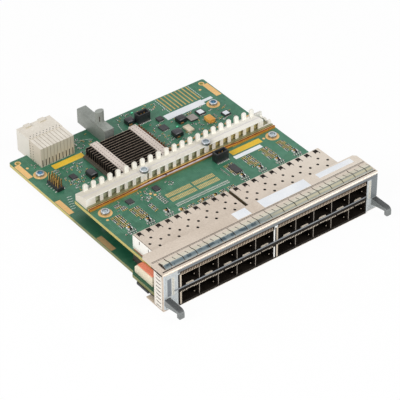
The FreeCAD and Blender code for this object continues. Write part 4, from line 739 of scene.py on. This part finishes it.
comb_white = finish("comb_white", (236, 231, 219), (219, 213, 199), 0.48, grain=800, smudge=90)
web_shade = finish("web_shade", (198, 202, 174), (162, 169, 140), 0.7, grain=900)
for way, colour in ((-1.0, (208, 201, 185)), (1.0, (250, 247, 238))):
    along = where(comb_white, "X") * 25.0 * way - 0.55
    layer(clamp(along, 0.6), colour)
reflected_gold = (where(web_shade, "X") - 0.010) * 40.0
layer(clamp(reflected_gold, 0.75), (206, 186, 118))
crease_light = between(where(comb_white, "Y"), 0.0131, 0.0141)
upward = between(where(comb_white, "Z"), 0.0200, 0.0208)
layer(crease_light * upward * 0.6, (206, 200, 206))
lit_front = facing(comb_white, "Y") < -0.7
layer(lit_front * 0.85, (253, 252, 245))
moulding = softened("comb_bar", "comb_moulding", 0.3, 3)
end_cut = block("end_cut", (68.2, 95.0, 15.2), (76.0, 106.7, 26.0))
change(moulding, "BOOLEAN", object=end_cut, operation="DIFFERENCE", solver="EXACT")
bpy.data.objects.remove(end_cut)
knobs = [block("knob", (73.2, 101.2, 14.6), (75.1, 103.4, 16.4), 0.4, 2),
         block("knob", (72.8, 96.5, 14.6), (75.1, 98.4, 17.4), 0.4, 2)]
moulding = one_piece([moulding] + knobs, "comb_moulding")
moulding.data.materials.clear()
moulding.data.materials.append(comb_white)
web = block("comb_shade_sheet", (-70.7, 98.3, 15.05), (68.0, 98.8, 19.8), 0.05)
web.data.materials.append(web_shade)
fit(one_piece([moulding, web], "toothed_comb"), stands_for=["comb_bar"])

# The port cages: tinned sheet folded into long boxes over five ports each, with round vents and
# notched rear cut-outs, the ports parted by thin dividers.

tin = finish("tin_sheet", (219, 205, 190), (201, 186, 170), 0.38, metal=0.45, grain=1100, smudge=45)
dress(tin, "upper_left_cage_floor", "upper_right_cage_floor", "lower_left_cage_floor",
      "lower_right_cage_floor", "lower_left_cage_cover", "lower_right_cage_cover", "faceplate")
tin_z = where(tin, "Z")
# Painted light and shade on the tin: faces turned to the left lighter above the lower row, a highlight along
# the faceplate's bend, lighter towards the right, and the lower cages darker in the shade.
lit_left = (facing(tin, "X") < -0.7) * (where(tin, "Y") > -0.0655)
layer(lit_left * (tin_z > 0.0133), (252, 249, 242))
bend_highlight = between(tin_z, 0.0274, 0.0279) * (where(tin, "Y") < -0.0860)
layer(bend_highlight, (228, 216, 202))
rightward_light = clamp(where(tin, "X") * 7.0, 0.45)
layer(rightward_light, (240, 232, 220))
low_shade = between(tin_z, 0.002, 0.012) * (where(tin, "Y") > -0.0635)
layer(low_shade, (84, 78, 70))
bright_edge = finish("bright_edge", (210, 199, 184), (184, 173, 158), 0.4, metal=0.25, grain=1200)
dress(bright_edge, "upper_dividers", "lower_dividers")
CAGE_LEFTS = (-71.42, 2.68)
CAGE_WIDTH = 71.55


def vented_cage(name, left, middles, node):
    """A cage cover: a folded sheet box open below and in front, with its vents and notches cut out."""
    cover = block(name, (left, 0, UPPER_TOP), (left + CAGE_WIDTH, 48.0, 23.3))
    with editing(cover, "polygons", lambda face: face.normal.z < -0.9 or face.normal.y < -0.9):
        bpy.ops.mesh.delete(type="FACE")
    change(cover, "SOLIDIFY", thickness=0.0003, offset=-1.0)
    cutters = []
    for x in middles:
        cutters += [new_mesh("vent", "cylinder", vertices=18, radius=0.00098, depth=0.002,
                             location=at(x + dx, y, 23.3))
                    for dx, y in ((0.0, 39.1), (-4.1, 34.4), (4.1, 34.4), (0.0, 29.7))]
        for spot in (x - 3.6, x + 3.6):
            for x0, x1, y0, y1 in ((-1.6, 1.6, 44.5, 47.65), (-1.6, -1.0, 43.7, 44.6),
                                   (1.0, 1.6, 42.7, 44.6)):
                cutters.append(block("notch", (spot + x0, y0, 22.2), (spot + x1, y1, 24.0)))
    for y in (31.4, 40.7):
        cutters.append(block("slit", (left - 0.5, y, 19.7), (left + 0.5, y + 0.7, 22.1)))
    cutter = one_piece(cutters, "cutter")
    change(cover, "BOOLEAN", object=cutter, operation="DIFFERENCE", solver="EXACT", use_self=True)
    bpy.data.objects.remove(cutter)
    fit(cover, tin, [node])


vented_cage("left_vented_cage", CAGE_LEFTS[0], PORTS[:5], "upper_left_cage_cover")
vented_cage("right_vented_cage", CAGE_LEFTS[1], PORTS[5:], "upper_right_cage_cover")
# Painted shade: a dark strip in the gap between the two cages.
gap_shade = finish("gap_shade", (84, 70, 44), (54, 46, 30), 0.8, grain=900)
fit(block("cage_gap_strip", (2.2, 23.5, 13.4), (2.66, 47.8, 22.9), 0.05), gap_shade)

# Inside each port: a near-black sleeve of painted shade with a thicker rim, and a small painted glint
# at one side. In the upper row a latch tab with rounded upper corners stands at the bottom lip.

port_shade_black = finish("port_shade_black", (40, 34, 29), (24, 20, 17), 0.55, grain=900)
port_shade_black.node_tree.nodes["Principled BSDF"].inputs["Specular IOR Level"].default_value = 0.1


def port_sleeve(name, half, y0, y1, z0, z1, wall):
    """A four-walled sleeve, open at both ends."""
    sleeve = block(name, (-half, y0, z0), (half, y1, z1))
    with editing(sleeve, "polygons", lambda face: abs(face.normal.y) > 0.9):
        bpy.ops.mesh.delete(type="FACE")
    change(sleeve, "SOLIDIFY", thickness=wall / 1000, offset=-1.0)
    return sleeve


mouths = [(x, 0, 0) for x in PORTS]
for row, z0, z1 in (("upper", 13.7, 22.95), ("lower", 1.4, 10.5)):
    tube = lay(port_sleeve("sleeve", 6.65, 0.05, 47.4, z0, z1, 0.1), mouths, "tubes")
    rims = lay(port_sleeve("rim", 6.97, -0.06, 0.06, z0, z1, 0.37), mouths, "rims")
    fit(one_piece([tube, rims], row + "_port_sleeves"), port_shade_black)
tab = block("tab", (-2.9, -0.2, 13.4), (2.9, 0.3, 14.8))


def upper_end(edge):
    """Whether an edge of the tab runs across the sheet at its top."""
    ends = [tab.data.vertices[i].co for i in edge.vertices]
    return min(end.z for end in ends) > 0.0147 and abs(ends[0].x - ends[1].x) < 0.0001


with editing(tab, "edges", upper_end):
    bpy.ops.mesh.bevel(offset=0.0009, segments=2, affect="EDGES")
tab_tin = finish("tab_tin", (224, 212, 194), (194, 182, 164), 0.45, metal=0.25, grain=1200)
fit(lay(tab, mouths, "latch_tabs"), tab_tin)
glint_brown = finish("glint_brown", (176, 162, 144), (144, 130, 114), 0.4, metal=0.2, grain=1500)
glint = block("glint", (-0.35, 0, -0.3), (0.35, 0.3, 0.3), 0.12)
glints = [(x + 3.9, 0.6, z) for x in PORTS for z in (18.4, 4.8)]
fit(lay(glint, glints, "port_glints"), glint_brown)

# Spring fingers round the mouths of the cages: thin bright strip, slotted finely, over a slot drawn
# as a black strip of painted shade, with a bare lip below it.


def folded_strip(name, wide, path, thick, turned=False):
    """Sheet metal drawn along a path of (y, z) points and thickened: an edge pulled out step by step.
    Turned, the strip stands upright and the path is (x, y)."""
    spots = [at(p[0], p[1], 0) if turned else at(0, p[0], p[1]) for p in path]
    half = Vector((0, 0, wide / 2000)) if turned else Vector((wide / 2000, 0, 0))
    piece = new_mesh(name, "plane", size=1.0)
    with editing(piece, "vertices", lambda point: point.co.y > 0):
        bpy.ops.mesh.delete(type="VERT")
    for vertex, side in zip(piece.data.vertices, (-1, 1)):
        vertex.co = spots[0] + half * side
    with editing(piece):
        for before, after in zip(spots, spots[1:]):
            bpy.ops.mesh.extrude_region_move(TRANSFORM_OT_translate={"value": after - before})
        bpy.ops.mesh.select_all(action="SELECT")
        bpy.ops.mesh.normals_make_consistent(inside=False)
    change(piece, "SOLIDIFY", thickness=thick / 1000, offset=0.0)
    with editing(piece):
        bpy.ops.mesh.normals_make_consistent(inside=False)
    return piece


finger_bright = finish("finger_bright", (222, 208, 188), (192, 178, 158), 0.35, metal=0.3, grain=1500)
starts = [left + 0.75 + 1.19 * i for left in CAGE_LEFTS for i in range(59)]
finger_tan = finish("finger_tan", (204, 184, 160), (172, 154, 132), 0.4, metal=0.25, grain=1500)
layer(where(finger_tan, "Z") > 0.0246, (124, 104, 84))
hook = [(-0.37, 25.45), (-0.37, 23.1), (0.3, 23.15), (0.9, 23.85), (2.5, 23.9), (5.0, 23.45), (6.1, 23.45)]
finger = folded_strip("finger", 0.5, hook, 0.1)
sills = [block("sill", (left + 0.1, -0.44, 22.95), (left + 71.4, -0.3, 23.2), 0.04) for left in CAGE_LEFTS]
hooks = lay(finger, [(x, 0, 0) for x in starts], "fingers")
fit(one_piece([hooks] + sills, "upper_mouth_fingers"), finger_tan, ["upper_fingers"])
finger = folded_strip("finger", 0.58, [(-0.42, 9.9), (-0.42, 10.9)], 0.1)
teeth = [(x, 0, 0) for x in starts if min(abs(x - port) for port in PORTS) > 2.9]
lines = [block("line", (-72.5, -0.36, 0.02), (75.5, -0.3, 0.3), 0.02)]
lines += [block("line", (x - 2.5, -0.47, 10.45), (x + 2.5, -0.37, 10.8), 0.03) for x in PORTS]
teeth = lay(finger, teeth, "fingers")
fit(one_piece([teeth] + lines, "lower_mouth_fingers"), finger_bright, ["lower_fingers"])
# The slots are black strips of painted shade.
slots = [block("slot", (-72.9, -0.36, 9.6), (74.1, -0.26, 13.4), 0.02),
         block("slot", (-72.5, -0.34, 0.3), (74.1, -0.28, 1.1), 0.01)]
slots += [block("slot", (x - 6.95, -0.33, 1.0), (x + 6.9, -0.27, 2.1), 0.01) for x in PORTS]
for left in CAGE_LEFTS:
    slots.append(block("slot", (left, -0.31, 22.9), (left + CAGE_WIDTH, -0.26, 25.6), 0.01))
    slots.append(block("slot", (left, 0.08, 9.7), (left + CAGE_WIDTH, 0.3, 11.0), 0.05))
fit(one_piece(slots, "finger_slots"), port_shade_black)

# Frames at the left end of each group of ports: the cage's folded lip, with black strips of painted
# shade in the gaps between the cages and at the edges of the windows.

lips = []
shade_strips = []
for left, low, high, shift in zip(CAGE_LEFTS, (-72.9, 2.2), (0.6, 75.7), (-0.3, -1.1)):
    for z0, z1 in ((1.0, 10.9), (13.3, 24.0)):
        lips.append(block("lip", (left + shift, -0.42, z0), (left + shift + 1.25, 0.5, z1 - 0.4), 0.12, 2))
        shade_strips.append(block("shade_strips", (low, 0.25, z0), (left, 0.7, z1), 0.05))
        shade_strips.append(block("shade_strips", (left + shift - 0.95, -0.34, z0), (left + shift, -0.28, z1), 0.01))
        shade_strips.append(block("shade_strips", (left + 71.3, -0.05, z0), (high, 0.7, z1), 0.05))
fit(one_piece(lips, "cage_lips"), finger_bright)
fit(one_piece(shade_strips, "window_shade_strips"), port_shade_black)

# The spring gasket on the faceplate's top flange: thin bright beryllium strip folded to a ridge, cut
# into sixteen wide fingers with a half one at each end, and slit again at half that pitch behind the
# ridge, these slits painted dark. Painted shadow lines run along the flange and the cage beside it,
# over a dark sheet of painted shade under the gasket.

gasket_bright = finish("gasket_bright", (222, 216, 198), (198, 190, 170), 0.3, metal=0.4, grain=1300)
# Painted reflections on the front slope: blue-grey, darker and mottled where steep, cream-olive towards the
# right, with a dark line along the ridge there.
tilt = facing(gasket_bright, "Y")
front_slope = clamp((tilt - 0.03) * -7.0)
layer(front_slope, (158, 168, 170))
steep = clamp((tilt + 0.12) * -5.0)
layer(steep, (98, 113, 118))
layer(steep * (cloud(gasket_bright, 260.0) > 0.52), (62, 78, 86))
rightward_light = clamp((where(gasket_bright, "X") + 0.012) * 40.0)
layer(steep * rightward_light, (190, 184, 158))
ridge = between(where(gasket_bright, "Y"), -0.0804, -0.08) * rightward_light
layer(ridge, (92, 102, 100))
rear_land = where(gasket_bright, "Y") > -0.0765
layer(rear_land, (214, 201, 186))
FINGER_PITCH = 9.455
cuts = fract((where(gasket_bright, "X") + 0.16873) * (2000 / FINGER_PITCH))
cuts = (cuts < 0.12) * between(where(gasket_bright, "Y"), -0.0798, -0.0762)
layer(cuts, (58, 44, 32))
roof = [(3.2, 28.73), (4.1, 28.75), (5.4, 29.3), (6.5, 29.7), (6.9, 29.72), (8.4, 29.3), (10.2, 28.75),
        (12.7, 28.75)]
spots = [(-69.17 + FINGER_PITCH * i, 0, 0) for i in range(16)]
wide_fingers = lay(folded_strip("finger", 8.9, roof, 0.2), spots, "wide")
end_fingers = lay(folded_strip("finger", 4.5, roof, 0.2), [(-76.53, 0, 0), (79.93, 0, 0)], "ends")
top_fingers = one_piece([wide_fingers, end_fingers], "top_gasket_fingers")
fit(top_fingers, gasket_bright, ["top_gasket"])
FLANGE_TOP = 28.6
shadow_line_brown = finish("shadow_line_brown", (52, 38, 28), (32, 23, 16), 0.7, grain=1500)
# Painted shadow: dark lines along the bends and the gasket's edges, at the left end, and a dark sheet under
# the gasket.
shadow_lines = [block("shadow_line", (-82.0, y, FLANGE_TOP), (83.0, y + wide, FLANGE_TOP + 0.03), 0.01)
          for y, wide in ((1.95, 0.95), (12.9, 0.35), (13.7, 0.4))]
shadow_lines += [block("shadow_line", (-83.56, 1.3, 26.75), (-83.5, 12.0, 27.75), 0.01),
           block("shadow_line", (-79.6, 3.6, FLANGE_TOP), (-79.05, 10.4, FLANGE_TOP + 0.08), 0.02),
           block("shadow_line", (-78.9, 4.0, FLANGE_TOP), (82.2, 12.5, FLANGE_TOP + 0.03), 0.01),
           block("shadow_line", (-71.2, 24.0, 23.3), (-70.95, 47.6, 23.33), 0.01)]
fit(one_piece(shadow_lines, "flange_shadow_lines"), shadow_line_brown)

# Side gaskets: the same strip bowed outwards up both ends of the faceplate, with nine slits a side,
# drawn as dark strips of painted shade, that stop short of both edges and part it into fingers.

side_bright = finish("side_bright", (238, 232, 222), (220, 213, 202), 0.4, metal=0.15, grain=1300)
bow = [(-83.62 - 0.24 * math.sin(math.pi * k / 6), 1.5 + 5.6 * k / 6) for k in range(7)]
for hand, flip in (("left", 1), ("right", -1)):
    rung = folded_strip("rung", 1.95, [(x * flip, y) for x, y in bow + [(-83.62, 9.1)]], 0.18, turned=True)
    rungs = lay(rung, [(0, 0, 2.5 + 1.94 * i) for i in range(13)], hand + "_gasket_fingers")
    fit(rungs, side_bright, [hand + "_gasket"])
    slit = folded_strip("slit", 0.6, [((x - 0.085) * flip, y) for x, y in bow[1:]], 0.06, turned=True)
    slits = lay(slit, [(0, 0, 3.0 + 2.85 * i) for i in range(9)], hand + "_gasket_slits")
    fit(slits, shadow_line_brown)

# The printed film over the faceplate: white polyester with plain grey fields at the ends and along
# the top of the ports, and the blue-grey port bar moulded between the two rows.

film_white = finish("film_white", (206, 211, 211), (184, 190, 191), 0.4, grain=900)
film_x = where(film_white, "X")
film_z = where(film_white, "Z")
left_field = between(film_x, -0.0808, -0.0779) * between(film_z, 0.0110, 0.0240)
right_field = between(film_x, 0.0776, 0.0830) * between(film_z, 0.0102, 0.0276)
top_field = between(film_x, -0.0730, 0.0830) * between(film_z, 0.0252, 0.0276)
layer(left_field, (120, 126, 132))
layer(right_field, (122, 128, 130))
layer(top_field, (118, 123, 126))
dots = fract(film_z * 900.0) < 0.5
for x in (-0.0766, 0.0766):
    ends = between(film_z, 0.0106, 0.0242)
    layer(between(film_x, x - 0.0009, x + 0.0009) * ends, (226, 222, 208))
    column = between(film_x, x - 0.0004, x + 0.0004) * ends
    layer(column * dots, (158, 160, 156))
web = between(film_x, -0.0010, 0.0030) * (film_z < 0.0252)
layer(web, (240, 239, 234))
dress(film_white, "front_film")
edges = [block("film_edge", (-82.2, -0.24, 25.3), (82.2, -0.02, 27.4), 0.02)]
for z0, z1 in ((1.4, 10.9), (13.4, 24.3)):
    for x0, x1 in ((-0.45, 0.75), (74.1, 75.9)):
        edges.append(block("film_edge", (x0, -0.3, z0), (x1, -0.26, z1), 0.01))
fit(one_piece(edges, "film_edges"), film_white)
plate_x = where(tin, "X")
corner = (plate_x > 0.0820) * (where(tin, "Y") < -0.0858) * between(tin_z, 0.0102, 0.0274)
layer(corner, (122, 128, 130))
corner = between(plate_x, -0.0833, -0.0815) * (facing(tin, "Y") < -0.7) * between(tin_z, 0.0020, 0.0274)
layer(corner, (204, 211, 215))
bar_slate = finish("bar_slate", (156, 161, 165), (126, 131, 136), 0.4, metal=0.2, grain=1200)
layer(where(bar_slate, "Z") < 0.01345, (84, 88, 94))
port_bar = block("port_bar", (-75.9, -0.75, 13.2), (73.0, -0.25, 14.0), 0.15, 2)
fit(port_bar, bar_slate, ["port_label_bar"])

# Pull handles: hooked finger pulls moulded in grey plastic, one at each lower corner, their edges
# rounded and their upper faces darker.

handle_grey = finish("handle_grey", (132, 135, 134), (114, 118, 117), 0.5, grain=1500, dent=0.1)
upper_face = facing(handle_grey, "Z") > 0.6
layer(upper_face * 0.9, (62, 64, 65))
for hand in ("left", "right"):
    recast(hand + "_handle", hand + "_pull", 0.2, handle_grey)

# The side connector at the left of the main board: a cream nylon body with a coral dust cap, both
# with rounded edges.

cream_nylon = finish("cream_nylon", (240, 230, 206), (222, 210, 184), 0.5, grain=1000)
recast("side_connector", "side_connector_body", 0.2, cream_nylon)
coral = finish("coral_cap", (234, 140, 108), (214, 116, 86), 0.5, grain=1100)
recast("side_connector_cap", "side_connector_dust_cap", 0.2, coral)

# Paper labels, left bare: white ones on the flange and both boards, yellow ones on the boards. Each is
# a thin sheet with softened edges.

label_yellow = finish("label_yellow", (238, 198, 62), (220, 178, 46), 0.5, grain=1200, dent=0.03)
yellow_places = ((-58.0, 153.4, -34.4, 158.4, MAIN_TOP), (34.7, 85.5, 59.2, 90.2, UPPER_TOP))
white_places = ((32.3, 152.8, 63.8, 158.8, MAIN_TOP), (63.8, 155.2, 71.6, 157.8, MAIN_TOP),
                (33.7, 80.9, 55.7, 84.3, UPPER_TOP), (4.4, 14.6, 41.2, 22.7, FLANGE_TOP),
                (-16.0, 15.0, -5.5, 22.2, FLANGE_TOP), (50.0, 17.2, 78.0, 21.8, FLANGE_TOP))
for name, made, places in (("yellow_labels", label_yellow, yellow_places),
                           ("white_labels", paper_white, white_places)):
    labels = [block("label", (x0, y0, z), (x1, y1, z + 0.08), 0.03) for x0, y0, x1, y1, z in places]
    fit(one_piece(labels, name), made)

# The camera looks down on the left front corner from afar, with a long lens, as the photograph does.
# Its axes and its place were solved from edges in the photograph.

eye = bpy.data.objects.new("camera", bpy.data.cameras.new("camera"))
bpy.context.scene.collection.objects.link(eye)
eye.data.sensor_width = 36.0
eye.data.lens = 187.06
eye.data.clip_start = 0.05
eye.data.clip_end = 20.0
right = Vector((0.7976668, -0.6030339, -0.0088225))
up = Vector((0.3737094, 0.4827390, 0.7920255))
back = Vector((-0.4733592, -0.6350694, 0.6104243))
turned = Matrix((right, up, back)).transposed().to_4x4()
eye.matrix_world = Matrix.Translation((-0.62673, -0.85271, 0.80797)) @ turned
bpy.context.scene.camera = eye

# Studio: a wide soft lamp from the upper left, a weaker one from the front, an even white room,
# and a white floor that shows white to the camera and keeps a faint shadow.


def soft_lamp(name, place, target, size, power):
    """A square area lamp turned towards a target."""
    lamp = bpy.data.objects.new(name, bpy.data.lights.new(name, "AREA"))
    bpy.context.scene.collection.objects.link(lamp)
    lamp.data.size = size
    lamp.data.energy = power
    lamp.location = place
    lamp.rotation_mode = "QUATERNION"
    lamp.rotation_quaternion = (Vector(target) - Vector(place)).to_track_quat("-Z", "Y")


soft_lamp("key_lamp", (-1.0, -0.2, 0.75), (0, 0, 0), 0.6, 9.0)
soft_lamp("front_lamp", (0.45, -1.0, 0.8), (0, 0, 0), 0.8, 7.5)


def seen_directly(made):
    """1 for rays that reach the eye straight, or by a mirror or through glass."""
    rays = made.node_tree.nodes.new("ShaderNodeLightPath")
    seen = Field(made, rays.outputs["Is Camera Ray"])
    for other in ("Is Glossy Ray", "Is Transmission Ray"):
        seen = seen.reckon("MAXIMUM", seen, Field(made, rays.outputs[other]))
    return seen


room = bpy.data.worlds.new("white_room")
bpy.context.scene.world = room
room.use_nodes = True
background = room.node_tree.nodes["Background"]
background.inputs["Color"].default_value = (1.0, 1.0, 1.0, 1.0)
seen_directly(room).spread(0.0, 1.0, 0.4, 1.0).into(background.inputs["Strength"])

floor = new_mesh("studio_floor", "plane", size=12.0, location=(0, 0, -0.0002))
floor_white = finish("floor_white", (250, 250, 250), (244, 244, 244), 0.9, grain=20)
nodes, links = floor_white.node_tree.nodes, floor_white.node_tree.links
glow = nodes.new("ShaderNodeEmission")
glow.inputs["Color"].default_value = (1.0, 1.0, 1.0, 1.0)
veil = nodes.new("ShaderNodeMixShader")
(seen_directly(floor_white) * 0.95).into(veil.inputs["Fac"])
links.new(nodes["Principled BSDF"].outputs["BSDF"], veil.inputs[1])
links.new(glow.outputs["Emission"], veil.inputs[2])
links.new(veil.outputs["Shader"], nodes["Material Output"].inputs["Surface"])
floor.data.materials.append(floor_white)

bpy.context.scene.view_settings.view_transform = "Standard"
